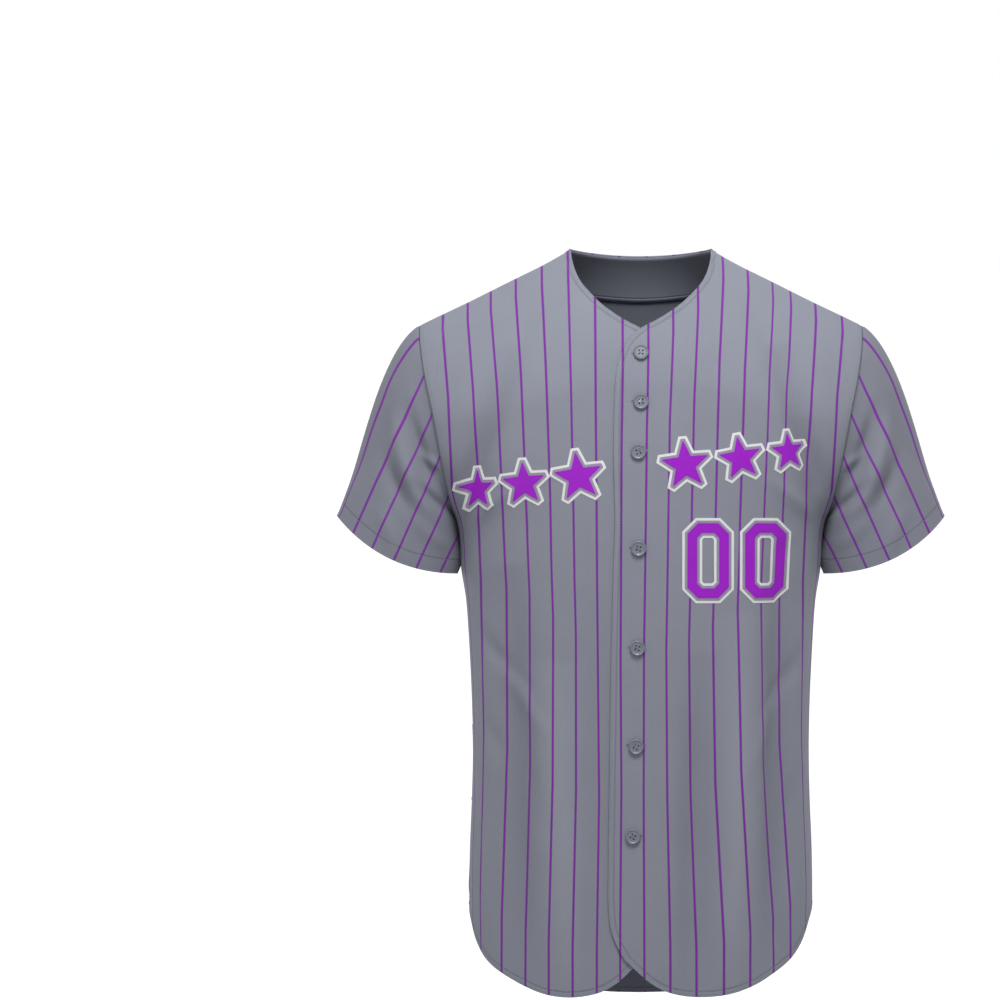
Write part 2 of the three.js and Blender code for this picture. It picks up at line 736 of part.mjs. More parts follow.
// Where a button sits: the outer facets of the panel near it give its direction, and the
// highest of them its distance
function buttonSeat(panel, x, z) {
  const rows = panel.grid.length;
  const columns = panel.grid[0].length;
  const near = [];
  for (let row = 0; row < rows - 1; row += 1) {
    for (let column = 0; column < columns - 1; column += 1) {
      const first = row * columns + column;
      const [a, b, c, d] = [first, first + 1, first + columns + 1, first + columns]
        .map((at) => panel.outer[at]);
      const normal = c.clone().sub(a).cross(d.clone().sub(b)).normalize();
      for (let step = 0; step < SEAT_STEPS ** 2; step += 1) {
        const u = (step % SEAT_STEPS) / (SEAT_STEPS - 1);
        const v = Math.floor(step / SEAT_STEPS) / (SEAT_STEPS - 1);
        const point = a.clone().lerp(b, u).lerp(d.clone().lerp(c, u), v);
        const away = Math.hypot(point.x - x, point.z - z);
        if (away < BUTTON_RADIUS * 1.15) near.push({ point, normal, away });
      }
    }
  }
  const direction = new THREE.Vector3();
  near.forEach(({ normal }) => direction.add(normal));
  direction.normalize();
  const middle = near.reduce((best, other) => (other.away < best.away ? other : best)).point;
  const rise = Math.max(...near.map(({ point }) => point.clone().sub(middle).dot(direction)));
  return { direction, foot: middle.clone().addScaledVector(direction, rise + SEAM_GAP) };
}

function addButtons(group, over) {
  const geometry = buttonGeometry();
  BUTTON_HEIGHTS.forEach((z, index) => {
    const seat = buttonSeat(over, centreLine(z) - BUTTON_OFFSET, z);
    const button = new THREE.Mesh(geometry, BUTTON_GREY);
    button.name = `button_${index + 1}`;
    button.quaternion.setFromUnitVectors(new THREE.Vector3(0, 1, 0), seat.direction);
    button.position.copy(seat.foot).addScaledVector(seat.direction, BUTTON_THICK / 2);
    group.add(button);
  });
}

function buildJersey() {
  const pattern = frontGrid();
  const lapLift = (CLOTH + LAP_GAP) / 2;
  const over = { name: 'front_left', grid: frontPoints(pattern, 1, lapLift), wraps: false };
  const under = { name: 'front_right', grid: frontPoints(pattern, -1, -lapLift), wraps: false };
  const back = { name: 'back', grid: backPoints(backHalfGrid()), wraps: false };
  const ring = armholeRing(over.grid, back.grid);
  const leftSleeve = foldSleeve(sleevePoints(ring));
  const left = { name: 'sleeve_left', grid: leftSleeve, wraps: true };
  const right = { name: 'sleeve_right', grid: mirrorGrid(leftSleeve), wraps: true };
  const pieces = [back, over, under, left, right];
  const edges = edgePoints(pieces);

  const jersey = new THREE.Group();
  for (const piece of pieces) {
    const mesh = new THREE.Mesh(clothWall(piece, edges), CLOTH_GREY);
    mesh.name = piece.name;
    jersey.add(mesh);
  }
  const facing = { name: 'neck_facing', grid: facingGrid(back, edges), wraps: false };
  const facingMesh = new THREE.Mesh(clothWall(facing, edgePoints([facing])), FACING_GREY);
  facingMesh.name = facing.name;
  jersey.add(facingMesh);
  addButtons(jersey, over);
  return jersey;
}

export default buildJersey();
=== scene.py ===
"""Baseball jersey: a button front, set-in short sleeves, pinstripes, a sewn-on number and stars.

The cloth panels are thin shells drawn from named sizes and short tables. The front faces -Y and
the wearer's left side is +X. Tables and sizes are in millimetres.
"""

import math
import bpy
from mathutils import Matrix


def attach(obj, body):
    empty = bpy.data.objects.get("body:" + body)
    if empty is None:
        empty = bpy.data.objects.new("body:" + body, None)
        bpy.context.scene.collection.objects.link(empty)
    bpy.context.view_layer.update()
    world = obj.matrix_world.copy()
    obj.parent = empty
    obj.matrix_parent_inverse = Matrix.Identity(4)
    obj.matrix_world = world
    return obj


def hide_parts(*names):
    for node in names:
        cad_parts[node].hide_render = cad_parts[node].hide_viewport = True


bl_info = {
    "name": "Baseball Jersey",
    "version": (1, 0, 0),
    "blender": (4, 5, 0),
    "location": "View3D > Sidebar > Jersey",
    "description": "Builds a button-front baseball jersey with pinstripes, number, stars and stitching",
    "category": "Object",
}

import bpy
import numpy as np
from mathutils import Vector

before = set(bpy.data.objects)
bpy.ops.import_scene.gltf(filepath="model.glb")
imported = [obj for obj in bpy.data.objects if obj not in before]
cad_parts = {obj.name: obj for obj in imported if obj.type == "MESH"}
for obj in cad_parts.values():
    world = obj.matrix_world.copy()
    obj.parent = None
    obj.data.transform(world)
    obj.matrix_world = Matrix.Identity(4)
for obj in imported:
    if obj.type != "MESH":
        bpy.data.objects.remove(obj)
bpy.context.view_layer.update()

MM = 0.001

# Cloth: the outer face lies CLOTH_OUT over the drawn surface, and the cloth is CLOTH_THICK thick
CLOTH_OUT = 0.75
CLOTH_THICK = 0.9
SEAM_WIDTH = 3.2
FACING_IN = 1.5

# Sizes of the body, down from the side of the neck
BACK_HEM_Z = -783.0
SIDE_HEM_Z = -680.0
ARMPIT_Z = -285.0
NECK_HALF = 74.0
NECK_CROWN = 22.0
BACK_NECK_DIP = 6.0
SHOULDER_TIP_X = 231.5
TURN_SCALE = 150.0

# Front opening: the over front lies flat on the under one up to LAP_FLAT from the centre line
# and they part by LAP_BLEND
LAP_LIFT = 1.2
LAP_FLAT = 30.0
LAP_BLEND = 70.0
LAP_STIFFNESS = 0.7
CENTRE_TOP_X = -1.0
CENTRE_TOP_Z = -84.0
CENTRE_LEAN = 0.0134
LEAN_START = 2.0
LEAN_FULL = 60.0

# Shoulder caps: how far below the seam the chest and back reach their full depth
CAP = {
    "front": {"at_neck": 170.0, "at_tip": 112.0, "power": 1.6},
    "back": {"at_neck": 150.0, "at_tip": 104.0, "power": 2.0},
}

# Sleeve: the cuff is an oval hung between an inner and an outer corner
CUFF_INNER = (191.8, -338.0)
CUFF_OUTER = (317.0, -278.0)
CUFF_HALF_DEPTH = 52.0
CUFF_DIP_FRONT = 16.0
CUFF_DIP_BACK = 9.0
SLEEVE_FULLNESS = 0.7
UNDERARM_FULLNESS = 0.35
# The sleeve's cloth dips beside the armhole: how deep by the seam and in the dip's middle, and
# where the dip starts, has its middle and how wide it is, as shares of the sleeve's length
TUCK_SEAM = 1.4
TUCK_DEEP = 3.0
TUCK_START = 0.02
TUCK_AT = 0.06
TUCK_WIDE = 0.07
# The sleeve swells under the arm until it touches the body. There the cloth's colour is darkened
# with painted shade, as dark as a trough that is UNDERARM_SHADE times as deep
UNDERARM_BULGE = 5.0
UNDERARM_SHADE = 3.0
# Way in which the cloth leaves the armhole: outward, forward, and down under and over the arm
LEAVE_OUT = 0.92
LEAVE_FORWARD = 0.34
LEAVE_DOWN_UNDER = 0.3
LEAVE_DOWN_OVER = 0.56

# Steps of the panels' pattern and how many cells each is cut into
ROWS_SIDE = 16
ROWS_ARMHOLE = 12
COLUMNS_NECK = 9
COLUMNS_BACK_NECK = 6
COLUMNS_SHOULDER = 8
ROW_CELLS = 6
COLUMN_CELLS = 3
SLEEVE_ROWS = 60
CLOSE_ROW = 0.06
CLOSE_COLUMN = 0.1
CURVE_STEPS = 40

# Stitch lines, in from the edge or seam
HEM_STITCH = 5.0
YOKE_TOP = (204.0, -68.0)
YOKE_FOOT = (216.0, -158.0)
YOKE_POINTS = 24
CUFF_STITCH = 14.0
SEAM_STITCH = 5.0
BESIDE_PLACES = 10
STITCH_LENGTH = 2.3
STITCH_PITCH = 3.1
STITCH_RADIUS = 0.28
STITCH_TURN_STEP = 0.8
EDGE_ROLL = 0.85

# Rows and columns of the back that the facing covers
FACING_FOOT = 26.3
FACING_COLUMNS = 8.0
FACING_POINTS = {"across": 31, "up": 15}
FAR_FROM_SEAM = 50.0

BUTTON_HEIGHTS = (-111.0, -160.0, -211.0, -311.0, -414.0, -515.0, -609.0)
BUTTON_OFFSET = 1.0

# Level sections of the body: half width at the side seam, depth of front and back from the
# seam plane, and how square the section is (2 is an ellipse)
SECTIONS = [
    {"z": -830, "half": 172, "front": 103, "back": 104, "square": 2.6},
    {"z": -740, "half": 176.5, "front": 103, "back": 103, "square": 2.6},
    {"z": -680, "half": 178.5, "front": 102, "back": 101, "square": 2.6},
    {"z": -626, "half": 178, "front": 101, "back": 98, "square": 2.6},
    {"z": -574, "half": 176, "front": 101, "back": 96, "square": 2.6},
    {"z": -522, "half": 175, "front": 102, "back": 95, "square": 2.6},
    {"z": -470, "half": 176, "front": 104, "back": 96, "square": 2.55},
    {"z": -408, "half": 179, "front": 107, "back": 99, "square": 2.5},
    {"z": -366, "half": 182, "front": 109, "back": 102, "square": 2.45},
    {"z": -335, "half": 187, "front": 110, "back": 104, "square": 2.4},
    {"z": -285, "half": 192.5, "front": 112, "back": 108, "square": 2.35},
    {"z": -255, "half": 211, "front": 112, "back": 110, "square": 2.3},
    {"z": -220, "half": 236, "front": 112, "back": 112, "square": 2.25},
    {"z": -180, "half": 251, "front": 110, "back": 112, "square": 2.2},
    {"z": -130, "half": 258, "front": 107, "back": 109, "square": 2.2},
    {"z": -60, "half": 262, "front": 105, "back": 104, "square": 2.2},
    {"z": 40, "half": 262, "front": 104, "back": 100, "square": 2.2},
]

# Shoulder seam seen from the front
SHOULDER = [
    {"x": 74, "z": 0},
    {"x": 82, "z": -5},
    {"x": 100, "z": -15.2},
    {"x": 136, "z": -33},
    {"x": 178, "z": -54},
    {"x": 223, "z": -75.5},
    {"x": 231.5, "z": -80},
    {"x": 262, "z": -98},
]

# Armhole edge seen from the front, from the armpit to the tip of the shoulder
ARMHOLE = [
    {"z": -285, "x": 192.5},
    {"z": -270, "x": 197.5},
    {"z": -250, "x": 202.5},
    {"z": -217, "x": 209.5},
    {"z": -174, "x": 217.5},
    {"z": -134, "x": 226},
    {"z": -100, "x": 231},
    {"z": -80, "x": 231.5},
]

# Outlines seen from the front as (x, z). Those of a front count x from the centre line
FRONT_NECK = [
    (-20, -109), (-12, -95.5), (0, -85), (18, -75.5), (40, -60.5),
    (54, -47), (64, -35), (70, -22), (73.2, -9), (74, 0),
]
FRONT_EDGE = [
    (-8, -737), (-16.5, -722), (-23, -704), (-25.5, -680), (-26, -640),
    (-26, -420), (-26.5, -200), (-26, -150), (-24, -125), (-20, -109),
]
FRONT_HEM = [
    (-8, -737), (5, -749.5), (18, -761), (35, -770), (60, -775), (88, -773.5),
    (113, -766.5), (136, -755.5), (156.5, -739.5), (169, -719), (175.5, -698),
]
BACK_HEM = [
    (0, BACK_HEM_Z), (35, -782), (64, -778.5), (90, -771.5),
    (119, -758.5), (143, -742), (160, -724), (172, -702),
]

# How much deeper the folds are than their tables
FOLD_DEPTH = 3.2
CREASE_DEPTH = 2.2
SLEEVE_FOLD_DEPTH = 2.0
# How much the cloth's colour is darkened, as painted shade, for each millimetre of a trough, and lightened,
# as painted light, for each millimetre of a ridge
FOLD_SHADE = 0.035

# Long soft folds of the body: across is the place at the fold's middle, lean its drift in x
# for each millimetre down, and lift is outward, so a trough has a negative lift
BODY_FOLDS = [
    {"face": "front", "across": -44, "top": -350, "foot": -800, "lean": 0.03, "width": 16, "lift": -2.6},
    {"face": "front", "across": -84, "top": -430, "foot": -830, "lean": 0.05, "width": 24, "lift": 3.6},
    {"face": "front", "across": -132, "top": -330, "foot": -800, "lean": 0.02, "width": 20, "lift": -3.8},
    {"face": "front", "across": 52, "top": -420, "foot": -830, "lean": -0.04, "width": 22, "lift": -3.4},
    {"face": "front", "across": 98, "top": -380, "foot": -820, "lean": -0.03, "width": 22, "lift": 3.8},
    {"face": "front", "across": 140, "top": -300, "foot": -770, "lean": -0.02, "width": 16, "lift": -4.2},
    {"face": "front", "across": 168, "top": -100, "foot": -300, "lean": 0.28, "width": 15, "lift": -3.2},
    {"face": "front", "across": -165, "top": -100, "foot": -300, "lean": -0.3, "width": 16, "lift": -2.8},
    {"face": "back", "across": -118, "top": -330, "foot": -800, "lean": 0.05, "width": 22, "lift": -4.0},
    {"face": "back", "across": -66, "top": -440, "foot": -840, "lean": 0.03, "width": 26, "lift": 3.4},
    {"face": "back", "across": -8, "top": -300, "foot": -760, "lean": 0.02, "width": 26, "lift": -3.6},
    {"face": "back", "across": 58, "top": -430, "foot": -840, "lean": -0.04, "width": 24, "lift": 3.8},
    {"face": "back", "across": 112, "top": -300, "foot": -800, "lean": -0.05, "width": 20, "lift": -3.6},
    {"face": "back", "across": 150, "top": -110, "foot": -300, "lean": 0.3, "width": 18, "lift": -3.4},
    {"face": "back", "across": -146, "top": -120, "foot": -310, "lean": -0.32, "width": 17, "lift": -3.0},
]

# Short creases: middle, half length, tilt in degrees from upright (positive leans to +X at the
# top), bow sideways over the length, half width and lift
CREASES = [
    {"face": "front", "x": -150, "z": -425, "long": 58, "tilt": -38, "bow": 8, "wide": 7, "lift": -1.5},
    {"face": "front", "x": -128, "z": -462, "long": 66, "tilt": -30, "bow": 7, "wide": 8, "lift": 1.3},
    {"face": "front", "x": -158, "z": -505, "long": 44, "tilt": -24, "bow": -5, "wide": 7, "lift": -1.2},
    {"face": "front", "x": -112, "z": -560, "long": 70, "tilt": -9, "bow": 6, "wide": 9, "lift": -1.1},
    {"face": "front", "x": 152, "z": -448, "long": 60, "tilt": 32, "bow": -8, "wide": 7, "lift": -1.4},
    {"face": "front", "x": 128, "z": -500, "long": 64, "tilt": 20, "bow": -6, "wide": 8, "lift": 1.1},
    {"face": "front", "x": 160, "z": -560, "long": 48, "tilt": 14, "bow": 4, "wide": 7, "lift": -1.1},
    {"face": "front", "x": 84, "z": -640, "long": 72, "tilt": 5, "bow": 5, "wide": 9, "lift": -1.0},
    {"face": "front", "x": -62, "z": -655, "long": 80, "tilt": -4, "bow": -5, "wide": 9, "lift": 1.0},
    {"face": "front", "x": -178, "z": -228, "long": 52, "tilt": 22, "bow": 9, "wide": 8, "lift": -1.5},
    {"face": "front", "x": 181, "z": -222, "long": 56, "tilt": -24, "bow": -9, "wide": 8, "lift": -1.6},
    {"face": "front", "x": 160, "z": -262, "long": 48, "tilt": -48, "bow": -6, "wide": 7, "lift": 1.2},
    {"face": "front", "x": -158, "z": -268, "long": 46, "tilt": 46, "bow": 6, "wide": 7, "lift": 1.1},
    {"face": "front", "x": -120, "z": -90, "long": 62, "tilt": 24, "bow": 4, "wide": 10, "lift": -0.9},
    {"face": "front", "x": 126, "z": -96, "long": 60, "tilt": -20, "bow": -5, "wide": 10, "lift": -0.9},
    {"face": "back", "x": 150, "z": -420, "long": 60, "tilt": 34, "bow": -8, "wide": 7, "lift": -1.5},
    {"face": "back", "x": 126, "z": -470, "long": 68, "tilt": 26, "bow": -6, "wide": 8, "lift": 1.2},
    {"face": "back", "x": -148, "z": -440, "long": 56, "tilt": -36, "bow": 8, "wide": 7, "lift": -1.4},
    {"face": "back", "x": -124, "z": -498, "long": 66, "tilt": -22, "bow": 5, "wide": 8, "lift": 1.1},
    {"face": "back", "x": 36, "z": -560, "long": 84, "tilt": 3, "bow": 6, "wide": 10, "lift": -1.1},
    {"face": "back", "x": -40, "z": -610, "long": 78, "tilt": -5, "bow": -6, "wide": 9, "lift": 1.0},
    {"face": "back", "x": 172, "z": -240, "long": 52, "tilt": -28, "bow": -8, "wide": 8, "lift": -1.5},
    {"face": "back", "x": -170, "z": -236, "long": 54, "tilt": 26, "bow": 8, "wide": 8, "lift": -1.4},
]

# Folds of a sleeve seen flat from the front or back: middle, half length, tilt, bow, half width
# and lift. They fan out from under the arm
SLEEVE_CREASES = [
    {"side": "front", "x": 229, "z": -214, "long": 62, "tilt": 22, "bow": -9, "wide": 9, "lift": -3.6},
    {"side": "front", "x": 243, "z": -232, "long": 78, "tilt": 20, "bow": -12, "wide": 9, "lift": 3.2},
    {"side": "front", "x": 250, "z": -258, "long": 62, "tilt": 30, "bow": -10, "wide": 8, "lift": -2.8},
    {"side": "front", "x": 232, "z": -284, "long": 46, "tilt": 38, "bow": -6, "wide": 8, "lift": 2.4},
    {"side": "front", "x": 216, "z": -262, "long": 34, "tilt": 52, "bow": -4, "wide": 6, "lift": -2.6},
    {"side": "front", "x": 220, "z": -222, "long": 22, "tilt": 60, "bow": -3, "wide": 5, "lift": 1.7},
    {"side": "front", "x": 276, "z": -200, "long": 62, "tilt": -22, "bow": 6, "wide": 10, "lift": -2.2},
    {"side": "front", "x": 262, "z": -296, "long": 36, "tilt": 18, "bow": 4, "wide": 9, "lift": 1.6},
    {"side": "back", "x": 232, "z": -210, "long": 60, "tilt": 24, "bow": -8, "wide": 9, "lift": -3.2},
    {"side": "back", "x": 248, "z": -238, "long": 70, "tilt": 24, "bow": -10, "wide": 9, "lift": 2.8},
    {"side": "back", "x": 252, "z": -270, "long": 52, "tilt": 34, "bow": -8, "wide": 8, "lift": -2.4},
    {"side": "back", "x": 222, "z": -268, "long": 36, "tilt": 50, "bow": -4, "wide": 7, "lift": -2.2},
    {"side": "back", "x": 280, "z": -212, "long": 56, "tilt": -20, "bow": 5, "wide": 10, "lift": -1.9},
]

# Where the pinstripes of the fronts run, seen from the front: x at five heights
STRIPE_HEIGHTS = {"shoulder": -75.0, "chest": -158.0, "waist": -376.0, "hip": -532.0, "hem": -690.0}
FRONT_STRIPES = [
    {"shoulder": -206.5, "chest": -200.7, "waist": -192.9, "hip": -190.8, "hem": -194.0},
    {"shoulder": -180.5, "chest": -174.9, "waist": -166.5, "hip": -164.3, "hem": -168.2},
    {"shoulder": -156.7, "chest": -150.8, "waist": -140.4, "hip": -140.6, "hem": -145.6},
    {"shoulder": -130.5, "chest": -125.4, "waist": -116.5, "hip": -116.3, "hem": -121.0},
    {"shoulder": -103.3, "chest": -99.6, "waist": -92.1, "hip": -92.1, "hem": -96.4},
    {"shoulder": -76.1, "chest": -74.4, "waist": -68.7, "hip": -68.4, "hem": -71.9},
    {"shoulder": -48.6, "chest": -48.4, "waist": -46.4, "hip": -44.7, "hem": -47.1},
    {"shoulder": -20.2, "chest": -21.7, "waist": -22.7, "hip": -21.8, "hem": -23.0},
    {"shoulder": 6.3, "chest": 4.5, "waist": 1.5, "hip": 1.2, "hem": 1.8},
    {"shoulder": 32.0, "chest": 28.1, "waist": 24.4, "hip": 25.6, "hem": 28.8},
    {"shoulder": 58.0, "chest": 53.4, "waist": 47.9, "hip": 49.9, "hem": 56.0},
    {"shoulder": 85.1, "chest": 79.6, "waist": 72.5, "hip": 75.3, "hem": 83.9},
    {"shoulder": 111.2, "chest": 105.9, "waist": 98.3, "hip": 101.2, "hem": 111.2},
    {"shoulder": 137.7, "chest": 132.2, "waist": 122.9, "hip": 125.6, "hem": 136.8},
    {"shoulder": 155.3, "chest": 150.2, "waist": 142.8, "hip": 143.8, "hem": 153.9},
    {"shoulder": 181.8, "chest": 176.0, "waist": 166.9, "hip": 168.5, "hem": 177.8},
    {"shoulder": 209.8, "chest": 202.3, "waist": 192.9, "hip": 194.0, "hem": 203.0},
]
BACK_STRIPE_START = 7.2
BACK_STRIPE_PITCH = 28.6
CLOTH_PITCH = 27.5
STRIPE_REACH = 0.93
MORE_STRIPES = 3
# How far the stripes stay straight over a fold: 0 bends them with the cloth, 1 keeps them straight
STRIPE_SETTLE = 0.75

# Stripes of the sleeves run along them. Each is the distance across the sleeve, seen from the
# front, in the direction square to them
SLEEVE_LEAN = 24.2
SLEEVE_STRIPES = (53.1, 77.5, 102.0, 127.5, 151.8)
SLEEVE_PITCH = 24.4
SLEEVE_LOW = 2.0
SLEEVE_LAST_GAP = 1.5

# Number: half width, half height, corner cut and stroke of a zero, the width of one border, and
# the middles of the zeros
CHEST_NUMBER = {"half": 21.5, "tall": 38.8, "corner": 11.0, "stroke": 10.2, "border": 2.6}
CHEST_NUMBER_AT = ((67.5, -324.6), (127.2, -324.6))
BACK_NUMBER = {"half": 45.0, "tall": 79.0, "corner": 23.0, "stroke": 21.8, "border": 4.0}
BACK_NUMBER_AT = ((65.0, -259.0), (-55.3, -259.0))
NUMBER_STEP = 4.5

# Stars: the row on the chest rises a little to the wearer's left
CHEST_STARS = [
    {"side": -1, "x": -172.0, "z": -252.0, "radius": 20.0, "tilt": 8.0},
    {"side": -1, "x": -122.0, "z": -245.0, "radius": 23.0, "tilt": 5.0},
    {"side": -1, "x": -66.0, "z": -238.0, "radius": 26.0, "tilt": 8.0},
    {"side": 1, "x": 44.0, "z": -226.0, "radius": 26.0, "tilt": 6.0},
    {"side": 1, "x": 101.0, "z": -219.0, "radius": 23.0, "tilt": 9.0},
    {"side": 1, "x": 152.0, "z": -212.0, "radius": 20.0, "tilt": 5.0},
]
CHEST_BORDER = 2.6
BACK_STARS = {"count": 8, "radius": 18.5, "arc": 300.0, "top": -105.0, "spread": 66.0, "border": 4.0}
STAR_WAIST = 0.42
STAR_BLUNT = 0.92
STAR_RINGS = 6
STAR_SIDE_STEPS = 5

# Twill layers: how far each one's outer face stands over the drawn surface
TWILL_THICK = 0.45
RIM_ANGLE = 40.0
TWILL_OUT = {"white": 1.2, "grey": 1.5, "purple": 1.8}

# Buttonholes and the thread through the buttons
BUTTONHOLE_HALF = 8.6
BUTTONHOLE_WIDTH = 1.2
BUTTONHOLE_STITCH = 1.7
BUTTONHOLE_PITCH = 0.6
BUTTONHOLE_THREAD = 0.3
BUTTONHOLE_ROUND = 0.35
BUTTONHOLE_OUT = 0.05
SLIT_HALF = 7.6
SLIT_RADIUS = 0.35
BUTTON_FACE_OUT = 3.6
THREAD_REACH = 2.3
THREAD_RADIUS = 0.34
ROUND_POINTS = 73
SLIT_POINTS = 9
STRAND_POINTS = 5


def smooth(value, start, end):
    """Soft step from 0 at start to 1 at end."""
    share = np.clip((value - start) / (end - start), 0.0, 1.0)
    return share * share * (3.0 - 2.0 * share)


def mix(start, end, share):
    """Value between start and end."""
    return start + (end - start) * share


def hermite(start, leaving, end, arriving, share):
    """Smooth curve between two values with a slope at each end."""
    square = share * share
    cube = square * share
    rise = 3.0 * square - 2.0 * cube
    return (
        start * (1.0 - rise)
        + leaving * (cube - 2.0 * square + share)
        + end * rise
        + arriving * (cube - square)
    )


def read_table(rows, key, column, value):
    """Smooth curve through a table's rows, read at values of its key column."""
    keys = np.array([row[key] for row in rows], float)
    values = np.array([row[column] for row in rows], float)
    if keys[0] > keys[-1]:
        keys = keys[::-1]
        values = values[::-1]
    slopes = np.empty_like(values)
    slopes[1:-1] = (values[2:] - values[:-2]) / (keys[2:] - keys[:-2])
    slopes[0] = (values[1] - values[0]) / (keys[1] - keys[0])
    slopes[-1] = (values[-1] - values[-2]) / (keys[-1] - keys[-2])
    value = np.clip(np.asarray(value, float), keys[0], keys[-1])
    low = np.clip(np.searchsorted(keys, value) - 1, 0, len(keys) - 2)
    span = keys[low + 1] - keys[low]
    share = (value - keys[low]) / span
    return hermite(values[low], span * slopes[low], values[low + 1], span * slopes[low + 1], share)


def section(z):
    """Half width, depths and squareness of the body at heights z."""
    return {name: read_table(SECTIONS, "z", name, z) for name in ("half", "front", "back", "square")}


def centre_line(z):
    """x of the front's centre line, which leans a little."""
    return CENTRE_TOP_X + CENTRE_LEAN * (z - CENTRE_TOP_Z)


def shoulder_height(x):
    """Height of the shoulder seam, carried on over the neck hole."""
    across = np.abs(x)
    seam = read_table(SHOULDER, "x", "z", across)
    crown = NECK_CROWN * (1.0 - (across / NECK_HALF) ** 2)
    return np.where(across >= NECK_HALF, seam, crown)


def cap_rise(face, x, z):
    """Share of the full depth that the shoulder's cap has reached."""
    cap = CAP[face]
    reach = mix(cap["at_neck"], cap["at_tip"], np.clip(np.abs(x) / SHOULDER_TIP_X, 0.0, 1.0))
    share = np.clip((shoulder_height(x) - z) / reach, 0.0, 1.0)
    return (1.0 - (1.0 - share) ** cap["power"]) ** (1.0 / cap["power"])


def body_point(face, turn, z):
    """Points of the drawn body. turn is 0 at the centre and a quarter turn at the side seam."""
    row = section(z)
    sine = np.sin(turn)
    cosine = np.cos(turn)
    reach = (np.abs(sine) ** row["square"] + np.abs(cosine) ** row["square"]) ** (-1.0 / row["square"])
    x = row["half"] * reach * sine
    depth = row[face] * reach * cosine * cap_rise(face, x, z)
    y = -depth if face == "front" else depth
    return np.stack(np.broadcast_arrays(x, y, z), axis=-1)


def turn_at(x, z):
    """The turn at which the body's section at height z reaches x."""
    row = section(z)
    share = np.clip(np.abs(x) / row["half"], 0.0, 0.999999) ** row["square"]
    return np.sign(x) * np.arctan((share / (1.0 - share)) ** (1.0 / row["square"]))


def turn_of(face, point):
    """The turn of points that lie on or near the body."""
    row = section(point[..., 2])
    rise = np.maximum(cap_rise(face, point[..., 0], point[..., 2]), 0.05)
    return np.arctan2(point[..., 0] / row["half"], np.abs(point[..., 1]) / (row[face] * rise))


def unit(vectors):
    """Vectors of length one."""
    length = np.linalg.norm(vectors, axis=-1, keepdims=True)
    return vectors / np.maximum(length, 1e-9)


def body_normal(face, turn, z):
    """Outward direction of the drawn body."""
    turn_step = 0.004
    z_step = 0.5
    across = body_point(face, turn + turn_step, z) - body_point(face, turn - turn_step, z)
    up = body_point(face, turn, z + z_step) - body_point(face, turn, z - z_step)
    outward = unit(np.cross(across, up))
    return outward if face == "front" else -outward


def crease_lift(crease, x, z):
    """Lift of one short crease at places seen from the front."""
    tilt = math.radians(crease["tilt"])
    off_x = x - crease["x"]
    off_z = z - crease["z"]
    along = (off_z * math.cos(tilt) + off_x * math.sin(tilt)) / crease["long"]
    across = off_x * math.cos(tilt) - off_z * math.sin(tilt) - crease["bow"] * along * along
    fade = np.where(np.abs(along) < 1.0, np.cos(np.clip(along, -1.0, 1.0) * math.pi / 2.0), 0.0)
    return crease["lift"] * np.exp(-((across / crease["wide"]) ** 2)) * fade ** 1.5


def body_lift(face, lap_side, x, z):
    """Outward lift of folds, creases and the lap at places of the body."""
    lift = np.zeros(np.broadcast(x, z).shape)
    for fold in BODY_FOLDS:
        if fold["face"] != face:
            continue
        along = np.clip((z - fold["foot"]) / (fold["top"] - fold["foot"]), 0.0, 1.0)
        middle = (fold["top"] + fold["foot"]) / 2.0
        off = (x - fold["across"] - fold["lean"] * (middle - z)) / fold["width"]
        fade = np.sin(math.pi * along).clip(0.0) ** 0.8
        lift = lift + FOLD_DEPTH * fold["lift"] * np.exp(-off * off) * fade
    for crease in CREASES:
        if crease["face"] == face:
            lift = lift + CREASE_DEPTH * crease_lift(crease, x, z)
    armhole = read_table(ARMHOLE, "z", "x", np.minimum(z, ARMHOLE[-1]["z"]))
    edge = np.where(z > ARMPIT_Z, armhole, section(z)["half"])
    lift = lift * smooth(shoulder_height(x) - z, 8.0, 60.0)
    lift = lift * (1.0 - smooth(np.abs(x), edge - 24.0, edge - 3.0))
    if face == "back":
        return lift
    from_centre = (x - centre_line(z)) * lap_side
    lapped = 1.0 - smooth(from_centre, LAP_FLAT, LAP_BLEND)
    return LAP_LIFT * lap_side * lapped + lift * (1.0 - LAP_STIFFNESS * lapped)


def body_surface(face, lap_side, turn, z, out):
    """Points and outward directions of a body panel, out millimetres over its drawn surface."""
    base = body_point(face, turn, z)
    normal = body_normal(face, turn, z)
    lift = body_lift(face, lap_side, base[..., 0], base[..., 2]) + out
    return base + normal * lift[..., None], normal


def smooth_curve(corners):
    """Dense points of the centripetal curve through the corners."""
    corners = np.array(corners, float)
    padded = np.vstack([2 * corners[0] - corners[1], corners, 2 * corners[-1] - corners[-2]])
    share = np.linspace(0.0, 1.0, CURVE_STEPS, endpoint=False)[:, None]
    dense = []
    for a, b, c, d in zip(padded, padded[1:], padded[2:], padded[3:]):
        steps = ((a, b), (b, c), (c, d))
        before, here, after = (math.sqrt(max(np.linalg.norm(q - p), 1e-9)) for p, q in steps)
        leaving = ((b - a) / before - (c - a) / (before + here) + (c - b) / here) * here
        arriving = ((c - b) / here - (d - b) / (here + after) + (d - c) / after) * here
        dense.append(hermite(b, leaving, c, arriving, share))
    dense.append(corners[-1:])
    return np.vstack(dense)


def length_along(points):
    """Length of a line of points up to each of them."""
    steps = np.linalg.norm(np.diff(points, axis=0), axis=1)
    return np.concatenate([[0.0], np.cumsum(steps)])


def read_line(at, length, values):
    """Values along a line at lengths of it."""
    return np.stack([np.interp(at, length, column) for column in values.T], axis=-1)


